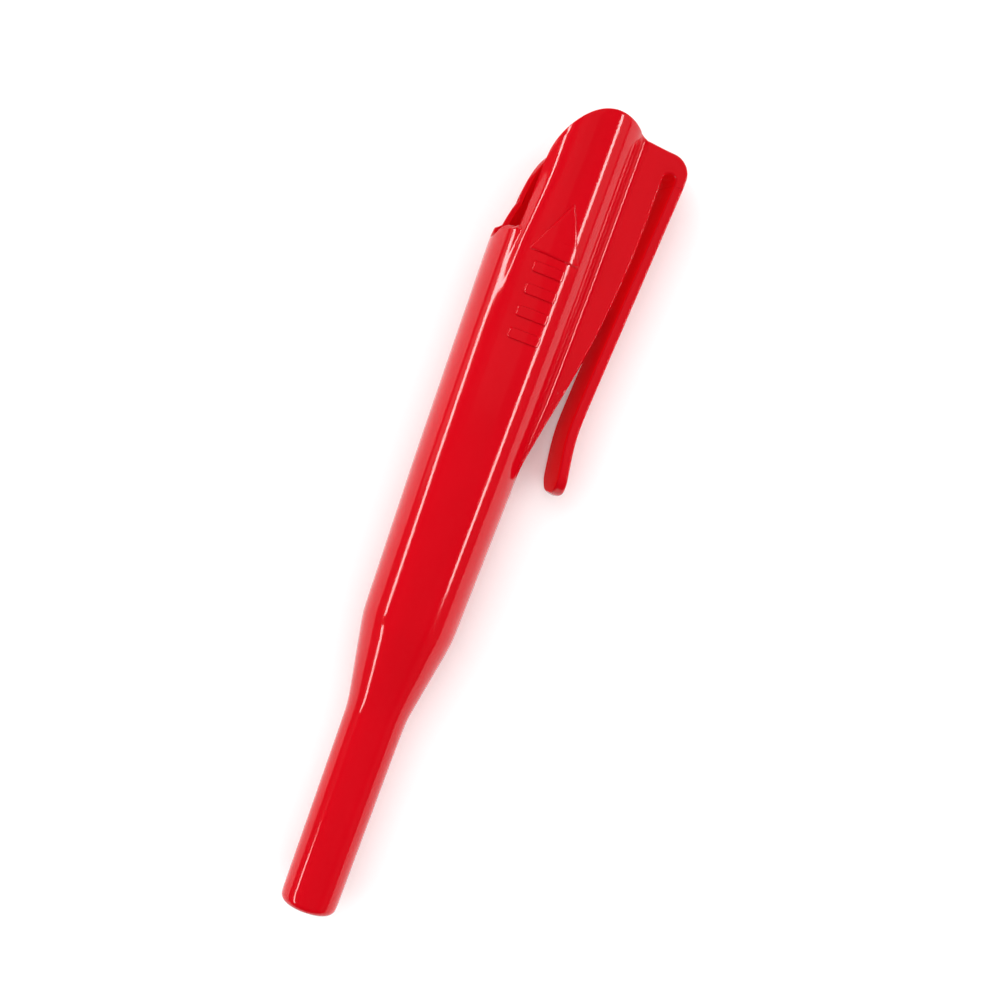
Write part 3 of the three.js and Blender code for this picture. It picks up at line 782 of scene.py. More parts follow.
    def shell(self) -> Mesh:
        """The shell as one closed grid: up the outer side, over the mouth's rim and down the bore."""
        columns = self.columns()
        low, angle, top = columns
        turn = np.linspace(0.0, QUARTER, self.edge_rows)
        edge = [self.radii[0] - self.nose_edge * (1 - np.sin(turn)), self.nose_edge * (1 - np.cos(turn))]
        nose = np.concatenate([self.vent_rows, np.stack(edge, -1)])
        wall = np.linspace(self.nose_edge, self.split, self.wall_rows)[1:, None]
        outside = self.fan(columns, np.linspace(0.0, self.rim_share, self.mouth_rows)[1:])
        inside = self.fan(columns, np.linspace(self.rim_share, 0.0, self.bore_mouth_rows))
        down = np.linspace(self.split, self.bore_foot, self.bore_rows)[1:, None]
        floor = np.array(self.floor_rows)
        points = np.concatenate([
            polar(low, nose[:, 1:], nose[:, :1]),
            polar(low, wall, self.outer(low, wall)),
            polar(*outside, self.outer(*outside)),
            self.rim_rows(angle, top),
            polar(*inside, self.bore(*inside)),
            polar(low, down, self.bore(low, down)),
            polar(low, floor[:, 1:], floor[:, :1]),
        ])
        return points, [grid_faces(len(points), len(low), True, True)]

    def rim_rows(self, angle: Array, top: Array) -> Array:
        """The rim between outer side and bore: a quarter round, a flat and a quarter round.

        With the outward normal n and the direction e off the rim's end, the first round is
        centre + r (n cos b + e sin b) and the second is centre + r (e cos b - n sin b).
        """
        outside = polar(angle, top, self.outer(angle, top))
        inside = polar(angle, top, self.bore(angle, top))
        across = outside - inside
        n = across / np.linalg.norm(across, axis=1, keepdims=True)
        middle = (outside + inside) / 2
        tangent = np.roll(middle, -1, axis=0) - np.roll(middle, 1, axis=0)
        e = np.cross(tangent, n)
        e /= np.linalg.norm(e, axis=1, keepdims=True)
        e *= np.sign(e[len(e) // 4, 1])
        r = self.rim_round
        turn = np.linspace(0.0, QUARTER, self.rim_steps)[:, None, None]
        first = outside - r * n - r * e
        second = inside + r * n - r * e
        return np.concatenate([
            first + r * (n * np.cos(turn) + e * np.sin(turn)),
            second + r * (e * np.cos(turn) - n * np.sin(turn)),
        ])

    def build(self, wardrobe: Wardrobe) -> None:
        """Makes the shell. The faces whose normal points to the axis are the bore's, and get the painted glow."""
        least_inward = 2.0
        shell = make_piece("holster_shell", *self.shell())
        finish_piece(shell, wardrobe, RED, "holster", "holster")
        normal, middle = facing(shell)
        outwards = normal[:, 0] * middle[:, 0] + normal[:, 2] * middle[:, 2]
        # The bore's faces get a darker red with a painted glow, so the inside never falls into shade.
        wardrobe.line(shell, RED_PAINTED_GLOW, outwards < -least_inward)


@dataclass(frozen=True)
class Marks:
    """The raised arrow, and the bars under it, on the shell's near side.

    `relief` is their height. `round_share` and `flat_share` are shares of the way from the outline to the
    middle: where the rounded edge ends, and where the flat's rings start. `skirt` is the share and the height
    of a ring outside the outline, under the shell's surface.
    """

    shell: Holster
    relief: float = 0.36
    round_share: float = 0.12
    round_rings: int = 6
    flat_share: float = 0.2
    flat_rings: int = 14
    skirt: Pair = (-0.02, -0.2)
    arrow: tuple[Pair, Pair, Pair] = ((0.25, 122.3), (-4.3, 113.0), (4.7, 112.8))
    arrow_corner: float = 0.5
    arrow_points: int = 240
    bars: int = 4
    bar_low: float = 98.7
    bar_pitch: float = 3.7
    bar_half: float = 2.75
    bar_height: float = 1.75
    bar_corner: float = 0.4
    bar_points: int = 160

    def rings(self) -> tuple[Array, Array]:
        """For each ring, the share of the way to the middle and the height off the shell."""
        turn = np.linspace(0.0, QUARTER, self.round_rings)[1:]
        edge = np.linspace(0.0, self.round_share, self.round_rings)[1:]
        flat = np.linspace(self.flat_share, 1.0, self.flat_rings)
        share = np.concatenate([[self.skirt[0], 0.0], edge, flat])
        rise = self.relief * np.sin(turn)
        return share, np.concatenate([[self.skirt[1], 0.0], rise, np.full_like(flat, self.relief)])

    def pad(self, outline: Array, middle: Array) -> Mesh:
        """A raised mark.

        Rings run from under the surface outside the outline, up its rounded edge and in to the middle. Each
        ring is the outline drawn in towards the middle, and stands its own height off the shell.

        Args:
            outline: the mark's outline in x and y.
            middle: the point that the rings shrink to.

        Returns:
            The points and the faces.
        """
        share, height = self.rings()
        places = middle + (outline - middle) * (1.0 - share)[:, None, None]
        x, y = places[..., 0], places[..., 1]
        angle = self.shell.angle_at(x, y)
        points = polar(angle, y, self.shell.outer(angle, y) + height[:, None])
        sides, floor, _ = rod_faces(*x.shape)
        return points, [sides, floor]

    def build(self, wardrobe: Wardrobe) -> None:
        """Makes the arrow, whose rings shrink to its triangle's incentre, and the bars."""
        corners = np.array(self.arrow)
        sides = np.linalg.norm(np.roll(corners, -1, axis=0) - np.roll(corners, 1, axis=0), axis=1)
        incentre = (corners * sides[:, None]).sum(axis=0) / sides.sum()
        outline = evenly_round(rounded(corners, self.arrow_corner, 8), self.arrow_points)
        arrow = make_piece("arrow", *self.pad(outline, incentre))
        finish_piece(arrow, wardrobe, RED, "holster")
        half, high = self.bar_half, self.bar_height
        box = np.array([[-half, 0.0], [half, 0.0], [half, high], [-half, high]])
        for number in range(self.bars):
            low = np.array([0.0, self.bar_low + self.bar_pitch * number])
            outline = evenly_round(rounded(low + box, self.bar_corner, 6), self.bar_points)
            bar = make_piece(f"bar_{number + 1}", *self.pad(outline, low + box.mean(axis=0)))
            finish_piece(bar, wardrobe, RED, "holster")


@dataclass(frozen=True)
class Clip:
    """The clip: a gusset plate with the clip's root, and the strip that springs. Both flare outwards."""

    shell: Holster
    thickness: float = 1.75
    root_outer: float = 17.3
    corner: float = 3.05
    slot_top: float = 133.1
    edge_round: float = 0.45
    edge_steps: int = 8
    tuck: float = 0.12
    sharp: float = 35.0

    # The gusset's hidden edge in the shell, and where the rounding fades out on its visible edge and on it.
    inside_depth: float = 0.95
    tip_depth: float = 0.4
    edge_fade: Pair = (1.0, 2.5)
    inside_fade: Pair = (7.0, 4.0)

    # The strip, from the hinge down to its rounded foot.
    joint: float = 131.5
    pivot: float = 16.27
    seam: float = 0.015
    end_bevel: float = 0.078
    bend: float = 87.5
    bend_outer: float = 14.7
    knee: float = 3.0
    end: float = 77.5
    foot_outer: float = 16.15
    foot_corner: float = 3.2
    foot_dense: float = 1.0
    foot_rows: int = 24
    strip_rows: int = 120

    # The pocket that keeps the moulding's walls thin, open at the clip's top.
    pocket_low: float = 112.0
    pocket_over: float = 2.0
    pocket_inner: float = 10.3
    pocket_outer: float = 12.35
    pocket_half: float = 2.4
    pocket_corner: float = 0.5

    def half(self, x: Array) -> Array:
        """Half the plate's thickness."""
        return self.shell.fin_side + self.shell.fin_flare * x

    def plate(self, outline: Array, weight: Array) -> Mesh:
        """A plate from its open outline, with rounded edges and a flat end between the outline's two ends.

        The rings are the outline moved in along its normal by r (1 - sin b), while the face falls by
        r (1 - cos b). The last ring of each side closes with one flat face.

        Args:
            outline: x and y along the plate's edge, from one corner of the flat end to the other.
            weight: how much of the rounding each point gets, 0 where the edge is hidden in the shell.

        Returns:
            The points and the faces.
        """
        tangent = np.gradient(outline, axis=0)
        tangent /= np.linalg.norm(tangent, axis=1, keepdims=True)
        inward = np.stack([tangent[:, 1], -tangent[:, 0]], -1)
        closed = np.concatenate([outline, outline[:1]])
        area = np.sum(closed[:-1, 0] * closed[1:, 1] - closed[1:, 0] * closed[:-1, 1])
        inward *= -np.sign(area)
        inward[[0, -1], 1] = 0.0
        inward[[0, -1]] /= np.abs(inward[[0, -1], :1])
        r = self.edge_round
        turn = np.linspace(0.0, QUARTER, self.edge_steps)
        moved = np.concatenate([[r + self.tuck], r * (1 - np.sin(turn))])
        sunk = np.concatenate([[0.0], r * (1 - np.cos(turn))])
        offset = np.concatenate([moved, moved[::-1]])
        fall = np.concatenate([sunk, sunk[::-1]])
        side = np.repeat([1.0, -1.0], len(moved))
        places = outline[None] + inward[None] * (offset[:, None] * weight)[..., None]
        z = side[:, None] * (self.half(places[..., 0]) - fall[:, None])
        points = np.concatenate([places, z[..., None]], -1)
        count, columns = z.shape
        row = np.arange(columns)[None, :]
        starts = np.arange(count)[None, :] * columns
        end = np.concatenate([starts, (starts + columns - 1)[:, ::-1]], 1)
        return points, [grid_faces(count, columns), row[:, ::-1], (count - 1) * columns + row, end]

    def gusset_outline(self) -> tuple[Array, Array]:
        """The gusset and the clip's root, from the strip's inner corner round to its outer corner.

        Returns:
            The outline and, for each point, how much of the rounding it gets.
        """
        shell = self.shell
        inner = self.root_outer - self.thickness
        slot_half = (inner - shell.fin_reach[-1]) / 2
        middle = self.slot_top - slot_half
        arc = np.linspace(0.0, math.pi, 24)
        slot = np.stack([inner - slot_half + slot_half * np.cos(arc), middle + slot_half * np.sin(arc)], -1)
        wall = np.linspace(middle, shell.fin_heights[1], 10)[1:-1]
        down = np.linspace(shell.fin_heights[1], shell.fin_low, 68)
        edge = np.stack([shell.fin_edge(down), down], -1)
        up = np.linspace(shell.fin_low, shell.clip_line(shell.radii[-1]), 40)
        hidden = np.minimum(shell.circle(up) - self.inside_depth, edge[-1, 0] - self.tip_depth)
        turn = np.linspace(QUARTER, 0.0, 24)
        across = self.root_outer - self.corner + self.corner * np.cos(turn)
        low = shell.clip_line(across) - self.corner
        side = np.linspace(low[-1], self.joint, 8)[1:]
        parts = [
            np.array([[inner, self.joint], [inner, (self.joint + middle) / 2]]),
            slot,
            np.stack([shell.fin_edge(wall), wall], -1),
            edge,
            np.stack([hidden, up], -1),
            np.stack([across, low + self.corner * np.sin(turn)], -1),
            np.stack([np.full_like(side, self.root_outer), side], -1),
        ]
        weight = [np.ones(len(part)) for part in parts]
        weight[3] = smooth_step((down - shell.fin_low - self.edge_fade[0]) / self.edge_fade[1])
        weight[4] = smooth_step((up - shell.fin_low - self.inside_fade[0]) / self.inside_fade[1])
        return np.concatenate(parts), np.concatenate(weight)

    def strip_edge(self, y: Array) -> Array:
        """How far the strip's outer side stands off the axis: straight, then a knee and the flared foot."""
        upper = (self.root_outer - self.bend_outer) / (self.joint - self.bend)
        lower = (self.bend_outer - self.foot_outer) / (self.bend - self.end - self.thickness / 2)
        past = self.bend - y
        ease = self.knee / 2
        return self.bend_outer - upper * past + (upper - lower) * ease * np.logaddexp(0.0, past / ease)

    def strip(self) -> Mesh:
        """The strip: a rounded rectangle carried down the path of `strip_edge`.

        Its thickness closes over the foot's end as 2 sqrt(d (t - d)), and its half width follows the ellipse
        sqrt(1 - (1 - d / f)²), where d is the distance from the end, t the thickness and f the foot's
        rounding.

        The upper end is bevelled outside the hinge, so that it clears the root when the strip flexes.

        Returns:
            The points and the faces.
        """
        t, f = self.thickness, self.foot_corner
        least = 1e-4
        most_round = 0.49
        foot = self.end + (f + self.foot_dense) * (1.0 - np.cos(np.linspace(0.0, QUARTER, self.foot_rows)))
        y = np.concatenate([foot, np.linspace(foot[-1], self.joint, self.strip_rows)[1:]])[:, None]
        past = np.minimum(y - self.end, t / 2)
        thick = 2.0 * np.sqrt(np.maximum(past * (t - past), least))
        short = np.maximum(1.0 - (y - self.end) / f, 0.0)
        r = np.minimum(self.edge_round, most_round * thick)
        corner = np.repeat(np.arange(4), self.edge_steps)
        around = QUARTER * corner + np.tile(np.linspace(0.0, QUARTER, self.edge_steps), 4)
        across = np.array([1.0, -1.0, -1.0, 1.0])[corner]
        up = np.array([1.0, 1.0, -1.0, -1.0])[corner]
        x = self.strip_edge(y) - t / 2 + across * (thick / 2 - r) + r * np.cos(around)
        z = up * (self.half(x) - r) * np.sqrt(1.0 - short * short) + r * np.sin(around)
        height = y * np.ones_like(x)
        height[-1] -= self.seam + self.end_bevel * np.maximum(x[-1] - self.pivot, 0.0)
        return np.stack([x, height, z], -1), rod_faces(*x.shape)

    def build(self, wardrobe: Wardrobe) -> None:
        """Makes the plate, with its moulding pocket, and the strip, and gives the slot's faces between them a
        painted glow.
        """
        beyond = 0.1
        inside = 0.5
        side_normal = 0.6
        inner_normal = 0.75
        plate = make_piece("clip_gusset", *self.plate(*self.gusset_outline()), self.sharp)
        self.cut_pocket(plate)
        normal, middle = facing(plate)
        slot = middle[:, 0] > self.pocket_outer + inside
        slot &= middle[:, 0] < self.root_outer - self.thickness + beyond
        slot &= middle[:, 1] < self.slot_top + beyond
        slot &= np.abs(normal[:, 2]) < side_normal
        finish_piece(plate, wardrobe, RED, "holster")
        # The slot's faces get a darker red with a painted glow and little reflection, in place of the shade
        # between gusset and strip.
        wardrobe.line(plate, RED_PAINTED_GLOW, slot)
        strip = make_piece("clip_strip_surface", *self.strip(), self.sharp)
        finish_piece(strip, wardrobe, RED, "clip", "clip_strip")
        # The strip's inner face gets the same painted glow.
        wardrobe.line(strip, RED_PAINTED_GLOW, facing(strip)[0][:, 0] < -inner_normal)

    def cut_pocket(self, plate: bpy.types.Object) -> None:
        """Sinks the moulding pocket into the plate."""
        half = self.pocket_half
        loop = rounded(np.array([
            [self.pocket_inner, -half], [self.pocket_outer, -half],
            [self.pocket_outer, half], [self.pocket_inner, half],
        ]), self.pocket_corner, 6)
        levels = np.array([self.pocket_low, self.shell.clip_corner[1] + self.pocket_over])[:, None]
        x, y, z = np.broadcast_arrays(loop[:, 0], levels, loop[:, 1])
        cutter = make_piece("pocket_cutter", np.stack([x, y, z], -1), rod_faces(*x.shape))
        cut = plate.modifiers.new("pocket", "BOOLEAN")
        cut.operation = "DIFFERENCE"
        cut.solver = "EXACT"
        cut.object = cutter
        bpy.context.view_layer.update()
        graph = bpy.context.evaluated_depsgraph_get()
        made = bpy.data.meshes.new_from_object(plate.evaluated_get(graph))
        plate.modifiers.clear()
        plate.data = made
        made.set_sharp_from_angle(angle=math.radians(self.sharp))
        bpy.data.objects.remove(cutter)


@dataclass(frozen=True)
class Turning:
    """A turned piece: its node, the body it rides on, its finish, and its profile of radii and heights."""

    node: str
    body: str
    slot: str
    finish: Finish
    outer: list[Pair]
    bore: tuple[Pair, ...] = ()
    edge: float = 0.1
    sides: int = 96

    def build(self, wardrobe: Wardrobe) -> None:
        """Turns the profile round y. A piece without a bore closes on the axis."""
        loop = np.array([*self.outer, *self.bore[::-1]], float)
        if not self.bore:
            ends = loop[[0, -1]] * np.array([0.0, 1.0])
            loop = np.concatenate([ends[:1], loop, ends[1:]])
        loop = rounded(loop, self.edge)
        turn = np.linspace(0.0, 360.0, self.sides, endpoint=False)
        points = polar(turn, loop[:, 1:], np.maximum(loop[:, :1], 0.0))
        piece = make_piece(f"{self.node}_surface", points, [grid_faces(len(loop), self.sides, True, True)])
        finish_piece(piece, wardrobe, self.finish, self.body, self.node)


@dataclass(frozen=True)
class Pencil:
    """The clutch pencil inside the holster.

    `gap` is the room between pieces that fit into each other, and `seat_gap` that where they only come near.
    """

    gap: float = 0.12
    seat_gap: float = 0.3

    # The nose tube, with the tip guide and the clutch ring in it.
    nose_low: float = 3.0
    nose_top: float = 42.0
    nose_radius: float = 3.1
    nose_bore: float = 2.45
    nose_taper: float = 2.0
    tip_radius: float = 2.35
    tip_bore: float = 1.5
    tip_land: float = 1.0
    guide_length: float = 2.8
    ring_low: float = 15.0
    ring_length: float = 3.0
    ring_bore: float = 1.97
    ring_mouth: Pair = (2.2, 0.6)

    # The lead, its tube and the collar that the spring pushes on.
    lead_low: float = 3.2
    lead_top: float = 112.0
    lead_radius: float = 1.4
    lead_tip: Pair = (0.8, 1.2)
    tube_low: float = 24.0
    tube_top: float = 117.0
    tube_radius: float = 2.25
    tube_bore: float = 1.97
    collar_radius: float = 3.8
    collar_length: float = 1.8

    # The nose cone, with the spring's seat in it.
    cone_low: float = 36.0
    cone_tip: float = 3.49
    cone_radius: float = 5.89
    shoulder: float = 49.1
    spigot: float = 4.7
    spigot_top: float = 55.0
    wall_bore: float = 2.55
    wall: float = 2.0
    chamber: float = 3.7
    seat: float = 0.7
    spring_length: float = 15.0
    spring_turns: float = 9.0
    spring_wire: float = 0.225
    spring_coil: float = 2.95

    # The barrel, its sleeve, its bush and its ribs.
    barrel_radius: float = 5.95
    barrel_bore: float = 4.1
    barrel_top: float = 112.3
    barrel_chamfer: float = 0.3
    grip_low: float = 56.0
    grip_high: float = 86.0
    grip_floor: float = 5.05
    grip_proud: float = 0.15
    grip_depth: float = 0.35
    grip_ribs: int = 9
    grip_fullness: float = 0.35
    bush_low: float = 103.0
    bush_flange: float = 0.5
    ribs: int = 4
    rib_low: float = 100.0
    rib_length: float = 8.0
    rib_half: float = 0.9
    rib_lift: float = 1.35
    rib_sunk: float = 0.2
    rib_foot: float = 0.5
    rib_ease: float = 0.12

    # The push button.
    stem_low: float = 104.5
    stem_radius: float = 3.2
    button_radius: float = 4.3
    button_foot: Pair = (3.95, 0.6)
    button_dome: float = 2.2
    grooves: int = 5
    groove_low: float = 2.0
    groove_pitch: float = 1.5
    groove_width: float = 0.28
    groove_depth: float = 0.28

    def push(self) -> float:
        """How far the button goes in."""
        return JOINTS["button_push"]["range_m"][1] / MM

    def seat_low(self) -> float:
        """The height of the spring seat's lower face."""
        return self.nose_top + self.gap + self.wall + self.gap

    def spring_low(self) -> float:
        """The height of the spring's lower end."""
        return self.seat_low() + self.seat + self.gap

    def grip_profile(self) -> list[Pair]:
        """The sleeve's ribs: the radius is a rounded wave along it."""
        y = np.linspace(self.grip_low + self.gap, self.grip_high - self.gap, 136)
        phase = (y - y[0]) / (y[-1] - y[0]) * self.grip_ribs
        hollow = 1.0 - np.abs(np.sin(math.pi * phase)) ** self.grip_fullness
        return list(zip(self.barrel_radius + self.grip_proud - self.grip_depth * hollow, y))

    def button_profile(self) -> list[Pair]:
        """The button: a stem, a cap with rounded finger grooves, and a domed end."""
        low = self.barrel_top + self.gap + self.bush_flange + self.seat_gap + self.push()
        dome = self.button_dome
        y = np.linspace(low + self.button_foot[1], BUTTON_END - dome, 90)
        place = [low + self.groove_low + self.groove_pitch * number for number in range(self.grooves)]
        groove = sum(np.exp(-((y - middle) / self.groove_width) ** 2) for middle in place)
        turn = np.linspace(0.0, QUARTER, 16)[1:]
        radius = np.concatenate([
            self.button_radius - self.groove_depth * groove, self.button_radius - dome * (1 - np.cos(turn)),
        ])
        height = np.concatenate([y, BUTTON_END - dome * (1 - np.sin(turn))])
        stem = [(self.stem_radius, self.stem_low), (self.stem_radius, low), (self.button_foot[0], low)]
        return [*stem, *zip(radius, height)]

    def nose(self) -> list[Turning]:
        """The nose tube and what it holds."""
        low, top, taper = self.nose_low, self.nose_top, self.nose_low + self.nose_taper
        fit = self.nose_bore - self.gap
        guide = (taper + self.gap, taper + self.gap + self.guide_length)
        ring = (self.ring_low, self.ring_low + self.ring_length)
        mouth, chamfer = self.ring_mouth
        tip, cone = self.lead_tip
        r = self.lead_radius
        lead = [(tip, self.lead_low), (r, self.lead_low + cone), (r, self.lead_top)]
        return [
            Turning(
                "nose_tube", "pencil", "steel", STEEL,
                [(self.tip_radius, low), (self.nose_radius, taper), (self.nose_radius, top)],
                ((self.tip_bore, low), (self.tip_bore, low + self.tip_land), (self.nose_bore, taper),
                 (self.nose_bore, top)),
                edge=0.12,
            ),
            Turning(
                "tip_guide", "pencil", "brass", BRASS,
                [(fit, guide[0]), (fit, guide[1])],
                ((self.tip_bore, guide[0]), (self.tip_bore, guide[1])),
            ),
            Turning(
                "clutch_ring", "pencil", "brass", BRASS,
                [(fit, ring[0]), (fit, ring[1])],
                ((mouth, ring[0]), (self.ring_bore, ring[0] + chamfer), (self.ring_bore, ring[1])),
                edge=0.06,
            ),
            Turning("lead", "lead", "lead", GRAPHITE, lead, edge=0.15),
            Turning(
                "lead_tube", "push_rod", "brass", BRASS,
                [(self.tube_radius, self.tube_low), (self.tube_radius, self.tube_top)],
                ((self.tube_bore, self.tube_low), (self.tube_bore, self.tube_top)),
                edge=0.08,
            ),
        ]

    def middle(self) -> list[Turning]:
        """The nose cone, and the seat and the collar at the spring's ends."""
        socket = self.nose_radius + self.gap
        floor = self.nose_top + self.gap
        seat = (self.seat_low(), self.seat_low() + self.seat)
        fit = self.chamber - self.gap
        collar_low = self.spring_low() + self.spring_length + self.gap
        collar = (collar_low, collar_low + self.collar_length)
        sleeve = self.tube_radius + self.gap
        return [
            Turning(
                "nose_cone", "pencil", "black_plastic", BLACK,
                [(self.cone_tip, self.cone_low), (self.cone_radius, self.shoulder),
                 (self.spigot, self.shoulder), (self.spigot, self.spigot_top)],
                ((socket, self.cone_low), (socket, floor), (self.wall_bore, floor),
                 (self.wall_bore, floor + self.wall), (self.chamber, floor + self.wall),
                 (self.chamber, self.spigot_top)),
                edge=0.12,
            ),
            Turning(
                "spring_seat", "pencil", "steel", STEEL,
                [(fit, seat[0]), (fit, seat[1])],
                ((self.wall_bore, seat[0]), (self.wall_bore, seat[1])),
            ),
            Turning(
                "spring_collar", "push_rod", "brass", BRASS,
                [(self.collar_radius, collar[0]), (self.collar_radius, collar[1])],
                ((sleeve, collar[0]), (sleeve, collar[1])),
                edge=0.15,
            ),
        ]

    def handle(self) -> list[Turning]:
        """The sleeve, the bush, the button and the barrel."""
        r, top, low, high = self.barrel_radius, self.barrel_top, self.grip_low, self.grip_high
        lip = r - self.barrel_chamfer
        under = top + self.gap
        flange = under + self.bush_flange
        fit = self.barrel_bore - self.gap
        bore = self.stem_radius + self.gap
        sleeve = self.grip_floor + self.gap
        front = self.spigot + self.gap
        stop = self.spigot_top + self.seat_gap
        start = self.shoulder + self.seat_gap
        return [
            Turning(
                "grip_sleeve", "pencil", "grip_rubber", RUBBER, self.grip_profile(),
                ((sleeve, low + self.gap), (sleeve, high - self.gap)), edge=0.05,
            ),
            Turning(
                "rear_bush", "pencil", "black_plastic", BLACK,
                [(fit, self.bush_low), (fit, under), (lip, under), (lip, flange)],
                ((bore, self.bush_low), (bore, flange)),
            ),
            Turning("push_button", "push_rod", "button_plastic", BUTTON_RED, self.button_profile()),
            Turning(
                "barrel", "pencil", "black_plastic", BLACK,
                [(r, start), (r, low), (self.grip_floor, low), (self.grip_floor, high), (r, high),
                 (r, top - self.barrel_chamfer), (lip, top)],
                ((front, start), (front, stop), (self.barrel_bore, stop), (self.barrel_bore, top)),
                edge=0.18,
            ),
        ]

    def make_ribs(self, wardrobe: Wardrobe) -> None:
        """The ribs along the barrel's rear: a rounded section whose height rises and falls along y."""
        along = np.linspace(0.0, 1.0, 40)
        across = np.linspace(-1.0, 1.0, 13)
        rise = smooth_step(along / self.rib_ease) * smooth_step((1 - along) / self.rib_ease)
        lift = self.rib_lift * (1.0 - np.abs(across) ** 4)[None, :] * rise[:, None]
        height = (self.rib_low + self.rib_length * along)[:, None]
        half_turn = np.degrees(np.arcsin(across * self.rib_half / self.barrel_radius))
        for number in range(self.ribs):
            turn = 360.0 / self.ribs * number + half_turn
            top = polar(turn, height, self.barrel_radius - self.rib_sunk + lift)
            under = polar(turn, height, self.barrel_radius - self.rib_foot)
            points = np.concatenate([top, under[:, ::-1]], axis=1)
            piece = make_piece(f"barrel_rib_{number + 1}", points, rod_faces(*points.shape[:2]))
            finish_piece(piece, wardrobe, BLACK, "pencil")

    def make_spring(self, wardrobe: Wardrobe) -> None:
        """The return spring: a round wire on a helix, x = R sin a and z = R cos a while y climbs evenly."""
        low, wire = self.spring_low(), self.spring_wire
        t = np.linspace(0.0, 1.0, 433)
        angle = 2 * math.pi * self.spring_turns * t + QUARTER
        out = np.stack([np.sin(angle), np.zeros_like(angle), np.cos(angle)], -1)
        path = self.spring_coil * out
        path[:, 1] = low + wire + (self.spring_length - 2 * wire) * t
        along = np.gradient(path, axis=0)
        along /= np.linalg.norm(along, axis=1, keepdims=True)
        third = np.cross(along, out)
        turn = np.linspace(0.0, 2 * math.pi, 12, endpoint=False)[None, :, None]
        points = path[:, None] + wire * (out[:, None] * np.cos(turn) + third[:, None] * np.sin(turn))
        piece = make_piece("return_spring_wire", points, rod_faces(*points.shape[:2]))
        finish_piece(piece, wardrobe, STEEL, "pencil", "return_spring")
        keep = 1.0 - self.push() / self.spring_length
        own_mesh(piece)

    def build(self, wardrobe: Wardrobe) -> None:
        """Makes the pencil's pieces and dresses the collet, whose CAD shape stays."""
        for turning in [*self.nose(), *self.middle(), *self.handle()]:
            turning.build(wardrobe)
        self.make_ribs(wardrobe)
        self.make_spring(wardrobe)
        wardrobe.dress(frame["nodes"]["collet"], BRASS)


class Use(Enum):
    """What a lamp is for."""

    MATT = "lights matt surfaces"
    GLOSS = "shows in glossy surfaces"


@dataclass(frozen=True)
class Lamp:
    """A soft box that faces the pencil, in metres.

    `size` is its width and its length along y. `radiance` is its brightness, 1 being the white table's.
    `slant` is its turn about the line to the pencil, in degrees.
    """

    name: str
    use: Use
    place: Triple
    size: Pair
    radiance: float
    slant: float = 0.0

    def hang(self) -> None:
        """Makes the lamp and aims it at the origin."""
        x, y, z = self.place
        width, length = self.size
        data = bpy.data.lights.new(self.name, "AREA")
        data.shape = "RECTANGLE"
        data.size = width
        data.size_y = length
        data.energy = self.radiance * math.pi * width * length
        lamp = bpy.data.objects.new(self.name, data)
        lamp.location = self.place
        lean = Matrix.Rotation(math.atan2(x, z), 3, "Y")
        tip = Matrix.Rotation(-math.atan2(y, math.hypot(x, z)), 3, "X")
        slant = Matrix.Rotation(math.radians(self.slant), 3, "Z")
        lamp.rotation_euler = (lean @ tip @ slant).to_euler()
        lamp.visible_camera = False
        lamp.visible_diffuse = self.use is Use.MATT
        lamp.visible_glossy = self.use is Use.GLOSS
        bpy.context.scene.collection.objects.link(lamp)


LAMPS = (
    # Narrow boxes for the long highlights, and dim walls beside them.
    Lamp("right_box", Use.GLOSS, (0.53, 0.0775, 0.29), (0.055, 0.345), 19.0),
    Lamp("left_box", Use.GLOSS, (-0.555, 0.05, 0.215), (0.05, 0.40), 19.0, 24.0),
    Lamp("left_far_box", Use.GLOSS, (-0.50, -0.33, 0.33), (0.05, 0.24), 18.0, 24.0),
    Lamp("left_wall", Use.GLOSS, (-0.9, 0.075, 0.19), (0.14, 0.27), 0.7),
    Lamp("right_wall", Use.GLOSS, (0.8, 0.55, 0.24), (0.40, 0.9), 0.45),
    Lamp("upper_wall", Use.GLOSS, (0.0, 0.45, 1.0), (1.3, 1.0), 0.15),
    # A soft key from the upper left, a fill from above and a lamp at each side.
    Lamp("key", Use.MATT, (-0.3, 0.6, 1.0), (1.2, 1.2), 0.85),
    Lamp("fill", Use.MATT, (0.0, 0.0, 1.2), (2.4, 2.4), 1.42),
    Lamp("right_side", Use.MATT, (0.865, 0.05, 0.25), (0.5, 1.3), 2.6),
    Lamp("left_side", Use.MATT, (-0.865, 0.05, 0.25), (0.5, 1.3), 2.9),
)


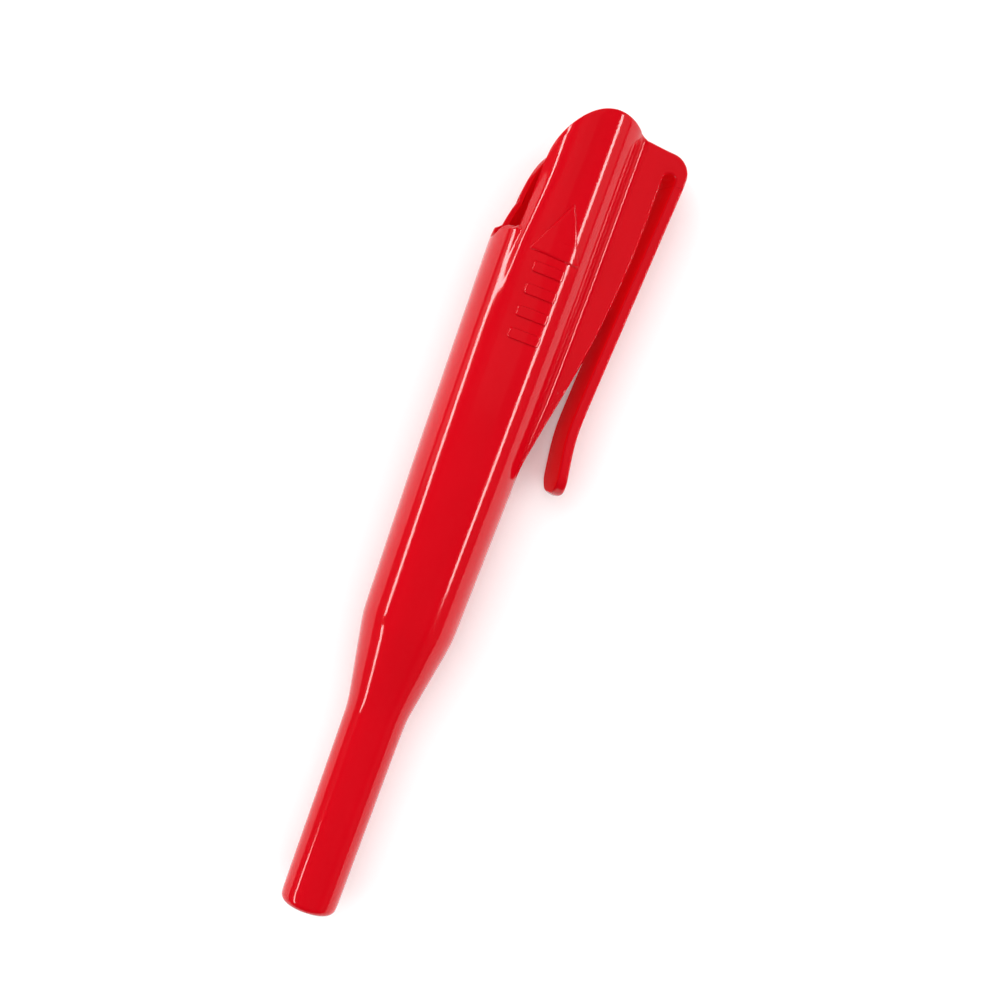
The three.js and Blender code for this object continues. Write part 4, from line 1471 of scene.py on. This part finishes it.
@dataclass(frozen=True)
class Studio:
    """The camera, the table and the lights. Places are in metres, and the camera's lens and sensor in mm."""

    camera_place: Triple = (0.00262, 0.0046, 0.2886)
    camera_turn: float = 19.9
    lens: float = 61.49
    sensor: float = 36.0
    sight: Pair = (0.01, 20.0)
    table_half: float = 0.9
    table_colour: Triple = (0.96, 0.96, 0.96)
    table_roughness: float = 0.9
    table_glow: float = 0.06
    room_glow: float = 0.03

    def camera(self) -> None:
        """Looks straight down, turned so that the pencil lies across the frame as photographed."""
        data = bpy.data.cameras.new("camera")
        data.lens = self.lens
        data.sensor_width = self.sensor
        data.clip_start, data.clip_end = self.sight
        camera = bpy.data.objects.new("camera", data)
        camera.location = self.camera_place
        camera.rotation_euler = (0.0, 0.0, math.radians(self.camera_turn))
        bpy.context.scene.collection.objects.link(camera)
        bpy.context.scene.camera = camera

    def table(self) -> None:
        """A plain white table."""
        half = self.table_half
        mesh = bpy.data.meshes.new("table")
        corners = [(-half, -half, 0.0), (half, -half, 0.0), (half, half, 0.0), (-half, half, 0.0)]
        mesh.from_pydata(corners, [], [(0, 1, 2, 3)])
        table = bpy.data.objects.new("table", mesh)
        bpy.context.scene.collection.objects.link(table)
        mesh.materials.append(Shader("table_white").coat(
            Base_Color=(*self.table_colour, 1.0),
            Roughness=self.table_roughness,
            Emission_Color=WHITE,
            Emission_Strength=self.table_glow,
        ))

    def room(self) -> None:
        """The faint white light from all round."""
        world = bpy.data.worlds.new("room")
        world.use_nodes = True
        background = world.node_tree.nodes["Background"]
        background.inputs["Color"].default_value = WHITE
        background.inputs["Strength"].default_value = self.room_glow
        bpy.context.scene.world = world

    def build(self) -> None:
        """Sets up the whole studio."""
        self.camera()
        self.table()
        for lamp in LAMPS:
            lamp.hang()
        self.room()
        bpy.context.scene.view_settings.view_transform = "Standard"


def main() -> None:
    """Builds the pieces in order, then the studio."""
    logging.basicConfig(level=logging.INFO, format="%(name)s: %(message)s")
    wardrobe = Wardrobe()
    holster = Holster()
    holster.build(wardrobe)
    Marks(holster).build(wardrobe)
    Clip(holster).build(wardrobe)
    Pencil().build(wardrobe)
    Studio().build()


if __name__ == "__main__":
    main()
